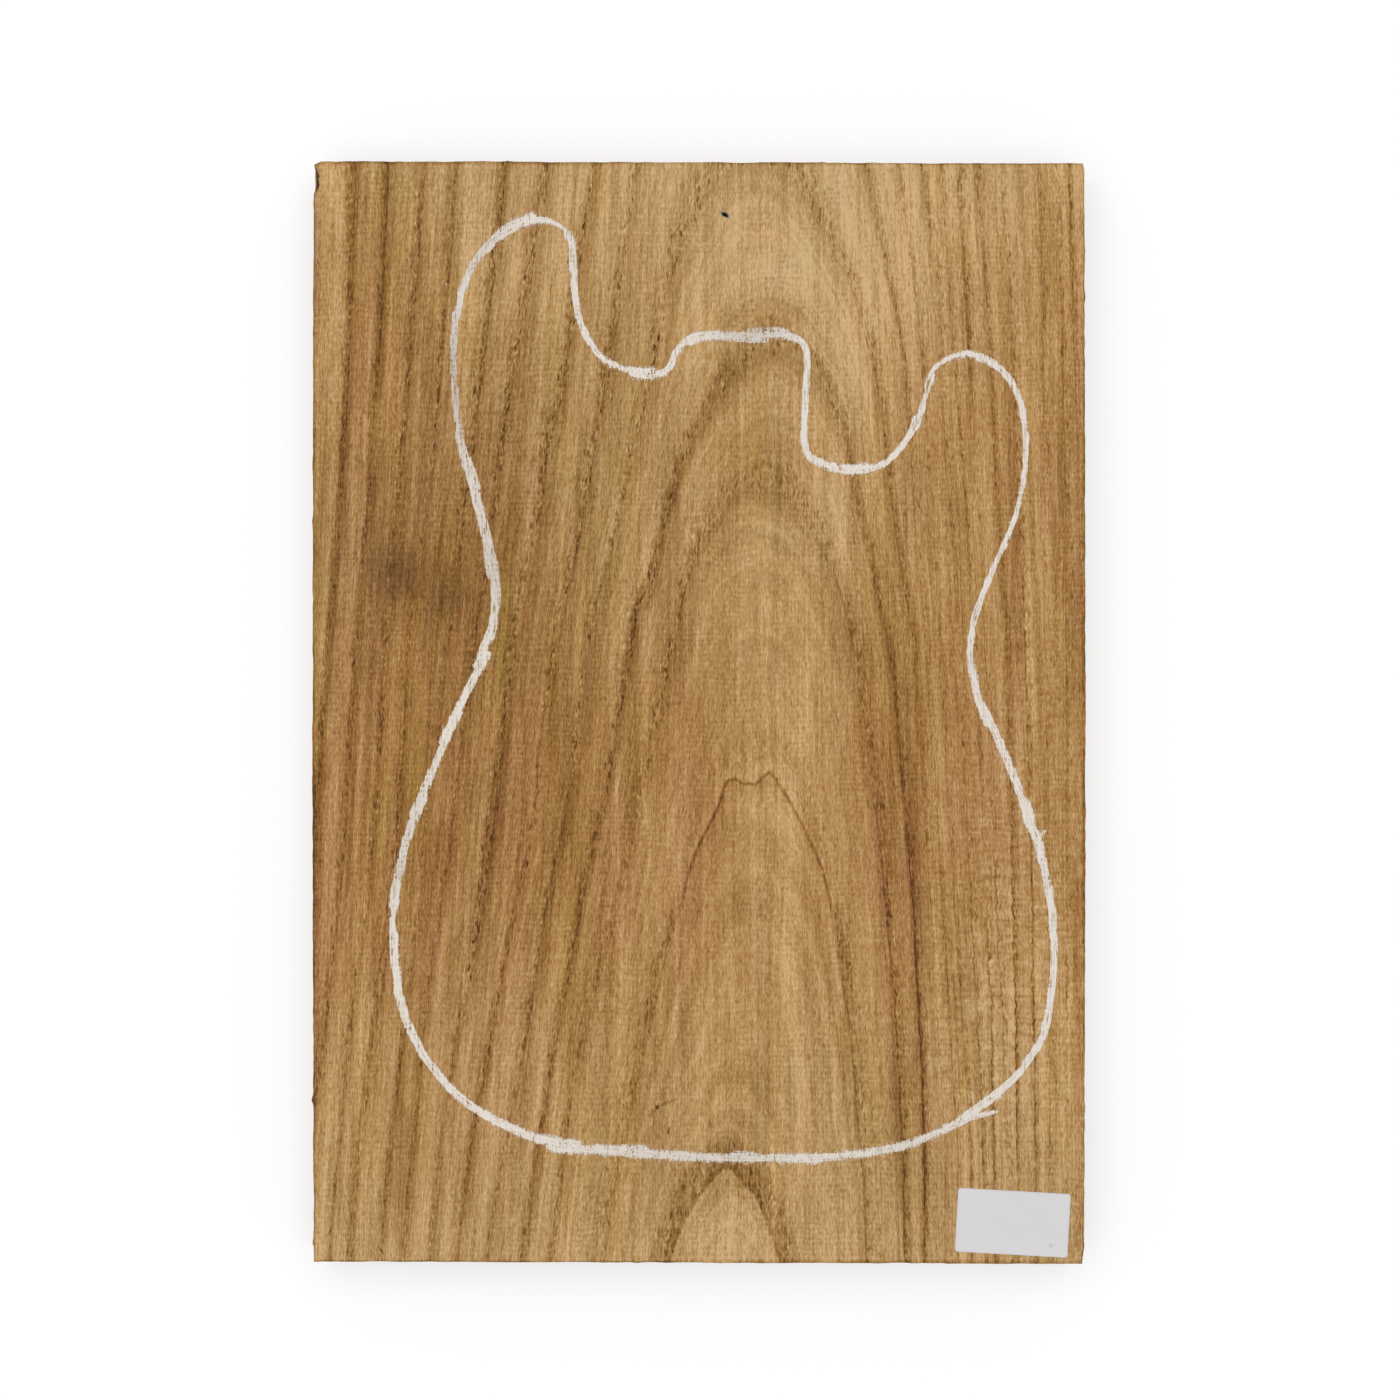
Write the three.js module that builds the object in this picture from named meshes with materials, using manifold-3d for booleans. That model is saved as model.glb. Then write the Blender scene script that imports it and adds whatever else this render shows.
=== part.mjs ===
// Electric guitar body blank: one sawn board of light ring-porous wood, lying on its back. The body that
// will be cut from it is drawn on its face in chalk, and a bare paper label is stuck on near the tail end.
//
// Millimetres. The marked face looks up (+Z), the neck end points to +Y, and the origin is the centre of
// the board's box at its underside. Seen from above, +X is to the right.

import * as THREE from 'three';
import { mergeVertices } from 'three/addons/utils/BufferGeometryUtils.js';
import Module from 'manifold-3d';

const wasm = await Module();
wasm.setup();

// Drawn body, over the middle of the chalk line, and the wood that the blank leaves round it
const drawnLength = 451.5;
const drawnWidth = 317.6;
const marginNeckEnd = 28.3; // from the neck end to the upper horn
const marginTailEnd = 50.2; // the label lies here, beside the lower bout's curve
const marginLeft = 38.5;
const marginRight = 14.9;

// Board
const boardLength = marginNeckEnd + drawnLength + marginTailEnd; // along the grain
const boardWidth = marginLeft + drawnWidth + marginRight; // across the grain, at the two ends
const boardThickness = 45;
const sideBow = 0.6; // how far each long side bulges at its middle
const endSkew = 1.2; // how much further down each end cut is at its right end
const arris = 0.3; // the broken edge round both faces
const bowSegments = 16;

// Knocked corners, measured across the board and along it
const topLeftNick = { across: 3.4, along: 1.7 };
const topRightNick = { across: 0.7, along: 4.2 };
const bottomRightNick = { across: 0.9, along: 7.5 };

// Torn-out hollow in the arris of the left side, just below the top left corner
const tearLength = 13;
const tearWidth = 1.9; // across the face
const tearDepth = 6; // down the side
const tearFromTop = 8.5; // from the corner to the middle of the hollow
const tearSegments = 20;

// Small hole near the neck end, such as a pulled nail leaves
const pitLength = 3.4;
const pitWidth = 1.7;
const pitDepth = 3.2;
const pitTurn = THREE.MathUtils.degToRad(-18);
const pitFromTopEnd = 25.3;
const pitRightOfMiddle = 12.5;
const pitSegments = 20;

// Chalk line
const chalkThickness = 0.3;
const chalkWidth = 4.4; // the usual width that one stroke leaves
const chalkStep = 3; // distance between the sections of a stroke
const chalkEnd = 2.8; // length over which a stroke comes up to its full width
const bluntShare = 0.4; // how wide a stroke starts, as a share of its full width
const chalkMerge = 26; // length over which a stroke that starts beside the line joins it
const tremor = 0.22; // how far the two edges of a stroke wander
const longTremor = 17; // the lengths of the two waves that the wander is made of
const shortTremor = 7.3;
const samplesPerPlace = 8; // steps between two places in which a stroke's length is measured

// Label
const labelLength = 54.3;
const labelHeight = 30.7;
const labelCornerRadius = 1.5;
const labelCornerSegments = 6;
const paperThickness = 0.1;
const adhesiveThickness = 0.05;
const adhesiveInset = 0.25; // the glue stops this far short of the paper's cut edge
const labelTurn = THREE.MathUtils.degToRad(-3.2);
const labelFromRightSide = 34.4; // to the label's middle
const labelFromTailEnd = 19.3;

const cutOverrun = 1; // how far a cutter runs past the surface that it cuts
const closeness = 0.001; // corners of one solid that are closer than this are one corner

const materials = {
  wood: new THREE.MeshStandardMaterial({ color: 0xab8456, roughness: 0.82, metalness: 0 }),
  chalk: new THREE.MeshStandardMaterial({ color: 0xe3dcd5, roughness: 0.97, metalness: 0 }),
  paper: new THREE.MeshStandardMaterial({ color: 0xd7d4d5, roughness: 0.7, metalness: 0 }),
  adhesive: new THREE.MeshStandardMaterial({ color: 0xdcd8cc, roughness: 0.35, metalness: 0 }),
};

// The middle of the drawn line, clockwise from the tip of the upper horn, as shares of the drawn body's
// width and length measured from its middle. The strokes below refer to each row as a numbered place.
const outlineShares = [
  [-0.271, 0.501], // 0: tip of the upper horn
  [-0.242, 0.491],
  [-0.2305, 0.474],
  [-0.2275, 0.445],
  [-0.2225, 0.408],
  [-0.21, 0.38], // 5
  [-0.188, 0.357],
  [-0.155, 0.342],
  [-0.112, 0.3355], // 8: bottom of the upper cutaway
  [-0.084, 0.342],
  [-0.072, 0.36], // 10
  [-0.045, 0.377], // 11: left corner of the neck heel
  [0.02, 0.377],
  [0.095, 0.3775],
  [0.119, 0.3695], // 14: right corner of the neck heel
  [0.126, 0.353], // 15
  [0.1235, 0.31],
  [0.123, 0.265],
  [0.134, 0.2475], // 18: inner corner of the lower cutaway
  [0.17, 0.2365],
  [0.212, 0.2345], // 20
  [0.25, 0.2455],
  [0.28, 0.269],
  [0.2985, 0.298],
  [0.315, 0.335],
  [0.334, 0.35], // 25
  [0.37, 0.3585], // 26: tip of the lower horn
  [0.406, 0.3495],
  [0.4355, 0.33],
  [0.4545, 0.292],
  [0.4575, 0.24], // 30
  [0.4415, 0.184],
  [0.404, 0.121],
  [0.379, 0.072],
  [0.375, 0.035], // 34: waist, right
  [0.387, -0.008], // 35
  [0.42, -0.059],
  [0.4565, -0.122],
  [0.4845, -0.185],
  [0.5, -0.255], // 39: widest, right
  [0.4975, -0.32], // 40
  [0.481, -0.371],
  [0.441, -0.414],
  [0.379, -0.449],
  [0.3, -0.48],
  [0.205, -0.495], // 45
  [0.08, -0.4995], // 46: tail
  [-0.04, -0.498],
  [-0.16, -0.492],
  [-0.25, -0.485],
  [-0.332, -0.464], // 50
  [-0.4035, -0.432],
  [-0.458, -0.385],
  [-0.4875, -0.337],
  [-0.499, -0.28], // 54: widest, left
  [-0.4965, -0.215], // 55
  [-0.4785, -0.155],
  [-0.449, -0.1],
  [-0.408, -0.031],
  [-0.371, 0.027],
  [-0.3505, 0.066], // 60
  [-0.3455, 0.105], // 61: waist, left
  [-0.355, 0.152],
  [-0.3755, 0.205],
  [-0.398, 0.268],
  [-0.4075, 0.32], // 65
  [-0.4085, 0.375],
  [-0.398, 0.423],
  [-0.377, 0.456],
  [-0.346, 0.4825],
  [-0.309, 0.496], // 70
];

// The strokes that the line was drawn in. places are the numbers of the places where one starts and ends,
// with the fraction of the way to the next, and below 0 they count back from the tip of the upper horn.
// widthShares are its widths at both ends, and sideShares how far it starts and ends beside the line,
// positive towards the outside of the body, all of them shares of the usual chalk width.
const strokeShares = [
  { places: [-4.6, -0.3], widthShares: [0.9, 1.05], sideShares: [-0.1, 0.3] },
  { places: [-2.6, 1.8], widthShares: [1.15, 0.55], sideShares: [-0.2, 0] },
  { places: [1.1, 8.35], widthShares: [0.95, 0.75], sideShares: [0, 0.75] },
  { places: [7.3, 12.6], widthShares: [0.75, 0.95], sideShares: [-0.1, -0.35] },
  { places: [10.6, 14.3], widthShares: [1, 0.85], sideShares: [-0.3, 0.1] },
  { places: [12.15, 13.05], widthShares: [0.4, 0.45], sideShares: [0.4, 0.42] },
  { places: [13.8, 18.3], widthShares: [0.8, 0.95], sideShares: [0.1, -0.1] },
  { places: [17.8, 20.35], widthShares: [0.9, 1.15], sideShares: [0, 0.1] },
  { places: [20.1, 22.8], widthShares: [0.75, 0.9], sideShares: [-0.1, 0.1] },
  { places: [22.3, 24.2], widthShares: [0.9, 0.5], sideShares: [-0.15, -0.2] },
  { places: [23.6, 27.3], widthShares: [0.55, 0.85], sideShares: [0.2, 0] },
  { places: [26.3, 30.9], widthShares: [0.95, 0.6], sideShares: [-0.1, 0] },
  { places: [30.6, 35.6], widthShares: [0.65, 1], sideShares: [0, -0.2] },
  { places: [35.1, 37.4], widthShares: [0.95, 1], sideShares: [0.1, -0.3] },
  { places: [36.9, 40.9], widthShares: [1.1, 0.9], sideShares: [0.15, 0] },
  { places: [40.5, 43.3], widthShares: [0.85, 1.1], sideShares: [0.2, 0] },
  { places: [42.9, 46.6], widthShares: [0.95, 0.85], sideShares: [0.3, -0.3] },
  { places: [45.45, 48.3], widthShares: [0.8, 1.15], sideShares: [0.3, 0] },
  { places: [47.6, 49.2], widthShares: [1.15, 0.9], sideShares: [-0.25, 0.4] },
  { places: [48.6, 52.4], widthShares: [1, 1], sideShares: [-0.3, 0] },
  { places: [51.9, 54.35], widthShares: [0.95, 1.15], sideShares: [0, 0] },
  { places: [54.1, 56.8], widthShares: [0.75, 1.1], sideShares: [0.1, -0.15] },
  { places: [54.7, 55.9], widthShares: [1.15, 1], sideShares: [0.1, 0] },
  { places: [56.3, 58.2], widthShares: [1.15, 0.8], sideShares: [0.1, -0.2] },
  { places: [57.6, 59.4], widthShares: [0.85, 1.1], sideShares: [0.3, -0.35] },
  { places: [58.9, 62.6], widthShares: [1.05, 1.25], sideShares: [0.2, 0] },
  { places: [61.3, 64.2], widthShares: [1.15, 1], sideShares: [0.35, 0.1] },
  { places: [63.1, 66.6], widthShares: [0.95, 0.85], sideShares: [-0.4, 0.1] },
];

// Ends of strokes that leave the line: where they start, the direction they take on the board in degrees
// anticlockwise from +X, and their length and width as shares of the usual chalk width.
const spurShares = [
  { place: 23.5, heading: 84, lengthShare: 2.2, widthShare: 0.35 },
  { place: 37.62, heading: 50, lengthShare: 1.7, widthShare: 0.35 },
  { place: 43.35, heading: 14.5, lengthShare: 4.9, widthShare: 0.7 },
  { place: 48.35, heading: 160, lengthShare: 1.3, widthShare: 0.35 },
];

// A spur's width along it, as [share of its length, share of its full width].
const taperShares = [
  [0, 1],
  [0.5, 1.1],
  [0.85, 0.7],
  [1, 0.3],
];

function boardShape() {
  const halfWidth = boardWidth / 2 - arris;
  const halfLength = boardLength / 2 - arris;
  const drop = endSkew / 2;
  const bulge = sideBow * 2; // a quadratic curve reaches half of its control point's offset
  const shape = new THREE.Shape();
  shape.moveTo(-halfWidth, -halfLength + drop);
  shape.lineTo(halfWidth - bottomRightNick.across, -halfLength - drop);
  shape.lineTo(halfWidth, -halfLength - drop + bottomRightNick.along);
  shape.quadraticCurveTo(halfWidth + bulge, 0, halfWidth, halfLength - drop - topRightNick.along);
  shape.lineTo(halfWidth - topRightNick.across, halfLength - drop);
  shape.lineTo(-halfWidth + topLeftNick.across, halfLength + drop);
  shape.lineTo(-halfWidth, halfLength + drop - topLeftNick.along);
  shape.quadraticCurveTo(-halfWidth - bulge, 0, -halfWidth, -halfLength + drop);
  return shape;
}

function slabGeometry() {
  const geometry = new THREE.ExtrudeGeometry(boardShape(), {
    depth: boardThickness - 2 * arris,
    curveSegments: bowSegments,
    bevelEnabled: true,
    bevelSize: arris,
    bevelThickness: arris,
    bevelSegments: 1,
  });
  geometry.translate(0, 0, arris);
  return geometry;
}

// An ellipsoid that leaves the hollow where the arris tore out.
function tearGeometry() {
  const geometry = new THREE.SphereGeometry(1, tearSegments, tearSegments / 2);
  geometry.scale(tearWidth, tearLength / 2, tearDepth);
  geometry.translate(-boardWidth / 2, boardLength / 2 - tearFromTop, boardThickness);
  return geometry;
}

// A cone with an oval mouth, as long and wide as the pit where it meets the face.
function pitGeometry() {
  const height = pitDepth + cutOverrun;
  const flare = height / pitDepth;
  const top = boardThickness + cutOverrun;
  const geometry = new THREE.ConeGeometry(1, height, pitSegments);
  geometry.rotateX(-Math.PI / 2);
  geometry.scale((pitLength / 2) * flare, (pitWidth / 2) * flare, 1);
  geometry.rotateZ(pitTurn);
  geometry.translate(pitRightOfMiddle, boardLength / 2 - pitFromTopEnd, top - height / 2);
  return geometry;
}

function toSolid(geometry) {
  geometry.deleteAttribute('normal');
  geometry.deleteAttribute('uv');
  const merged = mergeVertices(geometry, closeness);
  return new wasm.Manifold(
    new wasm.Mesh({
      numProp: 3,
      vertProperties: new Float32Array(merged.attributes.position.array),
      triVerts: new Uint32Array(merged.index.array),
    }),
  );
}

function toGeometry(solid) {
  const mesh = solid.getMesh();
  const geometry = new THREE.BufferGeometry();
  geometry.setAttribute('position', new THREE.BufferAttribute(mesh.vertProperties, 3));
  geometry.setIndex(new THREE.BufferAttribute(mesh.triVerts, 1));
  geometry.computeVertexNormals();
  return geometry;
}

function makeBoard() {
  const solid = toSolid(slabGeometry()).subtract(toSolid(tearGeometry())).subtract(toSolid(pitGeometry()));
  return named('board', toGeometry(solid), materials.wood);
}

// The closed curve through the middle of the drawn line, at its place on the board.
function drawnOutline() {
  const middleX = (marginLeft - marginRight) / 2;
  const middleY = (marginTailEnd - marginNeckEnd) / 2;
  const points = outlineShares.map(
    ([x, y]) => new THREE.Vector3(middleX + x * drawnWidth, middleY + y * drawnLength, 0),
  );
  return new THREE.CatmullRomCurve3(points, true, 'centripetal');
}

function pointAt(outline, place) {
  const turn = place / outlineShares.length;
  return outline.getPoint(turn - Math.floor(turn));
}

function headingAt(outline, place) {
  const turn = place / outlineShares.length;
  return outline.getTangent(turn - Math.floor(turn)).setZ(0).normalize();
}

// The share of its full width that a stroke has at a distance from its nearer end.
function endShare(distance) {
  const missing = 1 - Math.min(distance / chalkEnd, 1);
  return THREE.MathUtils.lerp(bluntShare, 1, Math.sqrt(1 - missing * missing));
}

// How far a stroke's edge wanders, from two waves. lead sets where in its waves an edge starts.
function wander(distance, lead) {
  const long = Math.sin((2 * Math.PI * distance) / longTremor + lead);
  const short = Math.sin((2 * Math.PI * distance) / shortTremor + 2 * lead);
  return (tremor / 2) * (long + short);
}

// How far beside the outline a stroke's middle runs, in millimetres, given the way to both its ends.
function sideways(fromStart, toEnd, [startShare, stopShare]) {
  const startSide = startShare * (1 - THREE.MathUtils.smoothstep(fromStart, 0, chalkMerge));
  const stopSide = stopShare * (1 - THREE.MathUtils.smoothstep(toEnd, 0, chalkMerge));
  return chalkWidth * (startSide + stopSide);
}

function besidePoint(point, across, reach) {
  return new THREE.Vector2(point.x + across.x * reach, point.y + across.y * reach);
}

// The closed plan of a band, from rows of { point, across, left, right }: its middle, the unit vector to
// its left, and its reach to both sides.
function bandShape(rows) {
  const leftEdge = rows.map(({ point, across, left }) => besidePoint(point, across, left));
  const rightEdge = rows.map(({ point, across, right }) => besidePoint(point, across, -right));
  return new THREE.Shape([...leftEdge, ...rightEdge.reverse()]);
}

function arcLength(outline, first, last) {
  const steps = Math.ceil((last - first) * samplesPerPlace);
  let length = 0;
  let before = pointAt(outline, first);
  for (let i = 1; i <= steps; i += 1) {
    const here = pointAt(outline, THREE.MathUtils.lerp(first, last, i / steps));
    length += here.distanceTo(before);
    before = here;
  }
  return length;
}

function strokeShape(outline, { places: [first, last], widthShares, sideShares }) {
  const length = arcLength(outline, first, last);
  const sections = Math.ceil(length / chalkStep);
  const rows = [];
  for (let i = 0; i <= sections; i += 1) {
    const share = i / sections;
    const place = THREE.MathUtils.lerp(first, last, share);
    const fromStart = share * length;
    const toEnd = length - fromStart;
    const heading = headingAt(outline, place);
    const across = new THREE.Vector2(-heading.y, heading.x);
    const half = (chalkWidth / 2) * THREE.MathUtils.lerp(...widthShares, share);
    const full = endShare(Math.min(fromStart, toEnd));
    rows.push({
      point: besidePoint(pointAt(outline, place), across, sideways(fromStart, toEnd, sideShares)),
      across,
      left: full * (half + wander(fromStart, first)),
      right: full * (half + wander(fromStart, last)),
    });
  }
  return bandShape(rows);
}

function spurShape(outline, { place, heading, lengthShare, widthShare }) {
  const angle = THREE.MathUtils.degToRad(heading);
  const direction = new THREE.Vector2(Math.cos(angle), Math.sin(angle));
  const across = new THREE.Vector2(-direction.y, direction.x);
  const start = pointAt(outline, place);
  const length = lengthShare * chalkWidth;
  const half = (widthShare * chalkWidth) / 2;
  const rows = taperShares.map(([along, full]) => ({
    point: besidePoint(start, direction, along * length),
    across,
    left: half * full,
    right: half * full,
  }));
  return bandShape(rows);
}

function chalkSolid(shape) {
  return toSolid(new THREE.ExtrudeGeometry(shape, { depth: chalkThickness, bevelEnabled: false }));
}

function makeChalkOutline() {
  const outline = drawnOutline();
  const strokes = strokeShares.map((stroke) => chalkSolid(strokeShape(outline, stroke)));
  const spurs = spurShares.map((spur) => chalkSolid(spurShape(outline, spur)));
  const solid = [...strokes, ...spurs].reduce((drawn, next) => drawn.add(next));
  const mesh = named('chalk_outline', toGeometry(solid), materials.chalk);
  mesh.position.z = boardThickness;
  return mesh;
}

function roundedRectangle(length, height, radius) {
  const x = length / 2;
  const y = height / 2;
  const shape = new THREE.Shape();
  shape.moveTo(-x + radius, -y);
  shape.lineTo(x - radius, -y);
  shape.absarc(x - radius, -y + radius, radius, -Math.PI / 2, 0);
  shape.lineTo(x, y - radius);
  shape.absarc(x - radius, y - radius, radius, 0, Math.PI / 2);
  shape.lineTo(-x + radius, y);
  shape.absarc(-x + radius, y - radius, radius, Math.PI / 2, Math.PI);
  shape.lineTo(-x, -y + radius);
  shape.absarc(-x + radius, -y + radius, radius, Math.PI, Math.PI * 1.5);
  return shape;
}

// One sheet of the label, whose edge lies inset from the paper's.
function labelLayer(name, inset, thickness, material) {
  const length = labelLength - 2 * inset;
  const height = labelHeight - 2 * inset;
  const shape = roundedRectangle(length, height, labelCornerRadius - inset);
  const geometry = new THREE.ExtrudeGeometry(shape, {
    depth: thickness,
    curveSegments: labelCornerSegments,
    bevelEnabled: false,
  });
  return named(name, geometry, material);
}

function makeLabel() {
  const label = new THREE.Group();
  const adhesive = labelLayer('label_adhesive', adhesiveInset, adhesiveThickness, materials.adhesive);
  const paper = labelLayer('label_paper', 0, paperThickness, materials.paper);
  paper.position.z = adhesiveThickness;
  label.add(adhesive, paper);
  const middleX = boardWidth / 2 - labelFromRightSide;
  const middleY = -boardLength / 2 + labelFromTailEnd;
  label.position.set(middleX, middleY, boardThickness);
  label.rotation.z = labelTurn;
  return label;
}

function named(name, geometry, material) {
  const mesh = new THREE.Mesh(geometry, material);
  mesh.name = name;
  return mesh;
}

const bodyBlank = new THREE.Group();
bodyBlank.name = 'guitar_body_blank';
bodyBlank.add(makeBoard(), makeChalkOutline(), makeLabel());

export default bodyBlank;
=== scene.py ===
import math

import bpy
import numpy as np
from bpy.props import FloatProperty, FloatVectorProperty, PointerProperty
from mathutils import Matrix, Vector
from mathutils.geometry import delaunay_2d_cdt
from mathutils.kdtree import KDTree


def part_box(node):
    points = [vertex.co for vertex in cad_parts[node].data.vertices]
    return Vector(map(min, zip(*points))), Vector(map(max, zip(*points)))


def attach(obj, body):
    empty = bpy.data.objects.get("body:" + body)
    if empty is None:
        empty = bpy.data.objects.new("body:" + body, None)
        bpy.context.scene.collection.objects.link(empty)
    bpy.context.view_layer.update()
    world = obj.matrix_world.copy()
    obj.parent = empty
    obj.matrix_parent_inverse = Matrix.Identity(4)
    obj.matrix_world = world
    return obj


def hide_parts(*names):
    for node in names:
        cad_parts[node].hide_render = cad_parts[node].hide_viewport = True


bl_info = {
    "name": "Guitar body blank",
    "version": (1, 0, 0),
    "blender": (4, 5, 0),
    "location": "3D View > Sidebar > Body blank",
    "description": "Dresses the packed body blank: sawn wood, chalk line and label, with a studio round it",
    "category": "Object",
}

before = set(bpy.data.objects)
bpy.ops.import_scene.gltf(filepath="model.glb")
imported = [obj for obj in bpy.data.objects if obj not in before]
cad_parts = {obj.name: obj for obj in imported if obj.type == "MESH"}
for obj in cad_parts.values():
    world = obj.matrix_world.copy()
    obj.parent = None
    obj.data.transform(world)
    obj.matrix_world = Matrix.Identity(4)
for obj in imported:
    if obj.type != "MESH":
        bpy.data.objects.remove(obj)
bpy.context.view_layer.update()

MM = 0.001

# Two faces that meet at less than this angle are shaded as one smooth one
SMOOTH_ANGLE = math.radians(38)

# The tables below are in millimetres, in the frame's axes: the neck end is at +Y and the face looks up.
BOARD_LOW, BOARD_HIGH = (np.array(corner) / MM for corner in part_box("board"))
FACE = BOARD_HIGH[2]

# The board's plan
BOARD_WIDTH = 371.0
BOARD_LENGTH = 530.0
SIDE_BULGE = 1.2
END_DROP = 0.6
TOP_LEFT_NICK = (3.4, 1.7)
TOP_RIGHT_NICK = (0.7, 4.2)
BOTTOM_RIGHT_NICK = (0.9, 7.5)

# Heights of the rows of points up the board's edge, and how much of the arris is worn off at each
EDGE_ROWS = (
    (0.0, 1.0), (0.14, 0.45), (0.4, 0.0), (2.2, 0.0), (6.0, 0.0), (11.0, 0.0), (17.0, 0.0), (23.0, 0.0),
    (29.0, 0.0), (34.5, 0.0), (38.5, 0.0), (41.5, 0.0), (43.3, 0.0), (44.25, 0.0), (44.6, 0.05),
    (44.86, 0.4), (45.0, 1.0),
)

# Torn-out hollow in the left arris: its middle along the board, its half length, width and depth, and how
# much its width varies
TEAR = (256.5, 6.5, 1.9, 6.0)
TEAR_ROUGHNESS = 0.3

# How far the saw strays from row to row, and over how many points
SAW_MARK = (0.05, 4)
# Chips in the arris: their size, over how many points they come and go, and how seldom they are
CHIPS = (0.5, 4, 0.9)
# How far below the face a splinter starts to come away from the edge
SPLINTER_RISE = 7

# Fibres that stand proud of an edge: place on the plan, reach outwards and half length along the edge
SPLINTERS = (
    ((-186.2, -186.6), 0.9, 1.6), ((-185.9, -255.2), 0.8, 1.2), ((-186.1, -178.0), 0.4, 3.0),
    ((185.9, 222.6), 0.45, 1.4), ((186.0, 200.0), 0.5, 1.8), ((186.1, -48.0), 0.35, 2.4),
    ((-186.0, 92.0), 0.35, 2.0), ((60.0, 264.7), 0.35, 1.2), ((-92.0, 265.2), 0.3, 1.0),
    ((-30.0, -265.0), 0.35, 1.5), ((120.0, -265.4), 0.3, 1.2),
)

# Small hole: its middle, the way that it points, its mouth round the middle, and its depth
PIT_PLACE = (12.4, 239.7)
PIT_TURN = math.radians(-24)
PIT_MOUTH = (
    (-2.2, 0.15), (-0.9, 0.55), (0.5, 0.8), (1.35, 0.45), (1.9, -0.25), (1.2, -0.75), (0.2, -0.6),
    (-1.1, -0.2),
)
PIT_DEPTH = 3.0

# Rings of points round the hole: share of the mouth's reach, share of the depth, how dark, number of points;
# the dark inside the hole is painted shade
PIT_RINGS = (
    (0.0, 1.0, 1.0, 1), (0.35, 0.85, 1.0, 6), (0.7, 0.5, 0.95, 16), (0.95, 0.08, 0.8, 28),
    (1.12, 0.0, 0.4, 32), (1.4, 0.0, 0.2, 32), (1.9, 0.0, 0.04, 28), (2.6, 0.0, 0.0, 26),
)
# How much further out the rings beyond the mouth lie, and how far the other points of the face keep away
PIT_SPREAD = 0.7
PIT_CLEARANCE = 4.6

# How far inside the rim two more rows of points lie, and areas with closer points: middle and reach
RIM_INSETS = (0.7, 1.7)
TURN_AREAS = (((24, -36), (20, 9)), ((15, -226), (14, 9)))

# Boxes on the board's map for its face and its back
FACE_MAP = ((0.004, 0.004), (0.704, 0.996))
BACK_MAP = ((0.72, 0.006), (0.99, 0.405))
# Upright strips on the map for its sides: corner and size of the first one, distance to the next one, and
# the length of board that fills one
STRIP_CORNER = (0.725, 0.435)
STRIP_SIZE = (0.055, 0.555)
STRIP_PITCH = 0.068
STRIP_LENGTH = 533

# The least distance between two points of the face, and how far they keep from the sides, the ends and the
# torn corner
POINT_GAP = 0.62
SIDE_MARGIN = 0.6
END_MARGIN = 1.2
CORNER_MARGIN = 3.0
# The same for the underside, whose points lie wider apart: steps against the face's, least distance, how far
# its first row lies inside the rim, and how far the others keep from the sides and the ends
BACK_STEPS = (2.6, 3.2)
BACK_GAP = 0.9
BACK_INSET = 1.3
BACK_MARGINS = (2.4, 3)

# How deep the wood still counts as the face, and the distance over which the slope of the rings is measured
SKIN = 1.0
PROBE = 0.5
# The least and the greatest distance from one ring to the next
SPACING_LIMITS = (3, 150)
# How dark the ring lines are on the sides, at least
DEEP_LINES = 1.6
# How far from a crest its distance is worked out, for the two crests
CREST_SPAN = 9
TAIL_SPAN = 16
# How far the face has sunk, and how much further its early wood has
FACE_SINK = 0.01
EARLY_WOOD_SINK = 0.03
# How far the darkened rims reach
RIM_REACH = 1.6
# How much of the face's clouds shows on the sides, and how much darker the sides are
DEEP_CLOUDS = 0.3
DEEP_SHADE = 4

# The heart of the tree below the face: along the board, across it, and how far down it lies
HEART_PLACES = ((266, 31, 127), (136, 36, 110), (6, 36, 93), (-129, 33, 73), (-266, 28, 48))
# Distance from the heart to each ring line, the first one for ring FIRST_RING
RING_REACHES = (
    22.5, 34.5, 46.6, 58.6, 87.4, 107.0, 117.2, 128.3, 139.0, 150.1, 162.7, 171.3, 183.5, 190.2, 204.0,
    215.2, 237.4, 248.0, 258.6,
)
FIRST_RING = -3
# How closely the rings lie on the left and on the right: at the heart, and how much more so for each
# TRUNK_REACH further out
TRUNK_REACH = 48.15
LEFT_SQUEEZE = (1, -0.027)
RIGHT_SQUEEZE = (1.127, 0.126)
# How much nearer the heart comes for each step down into the board
DEPTH_SHARE = 0.8

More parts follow.
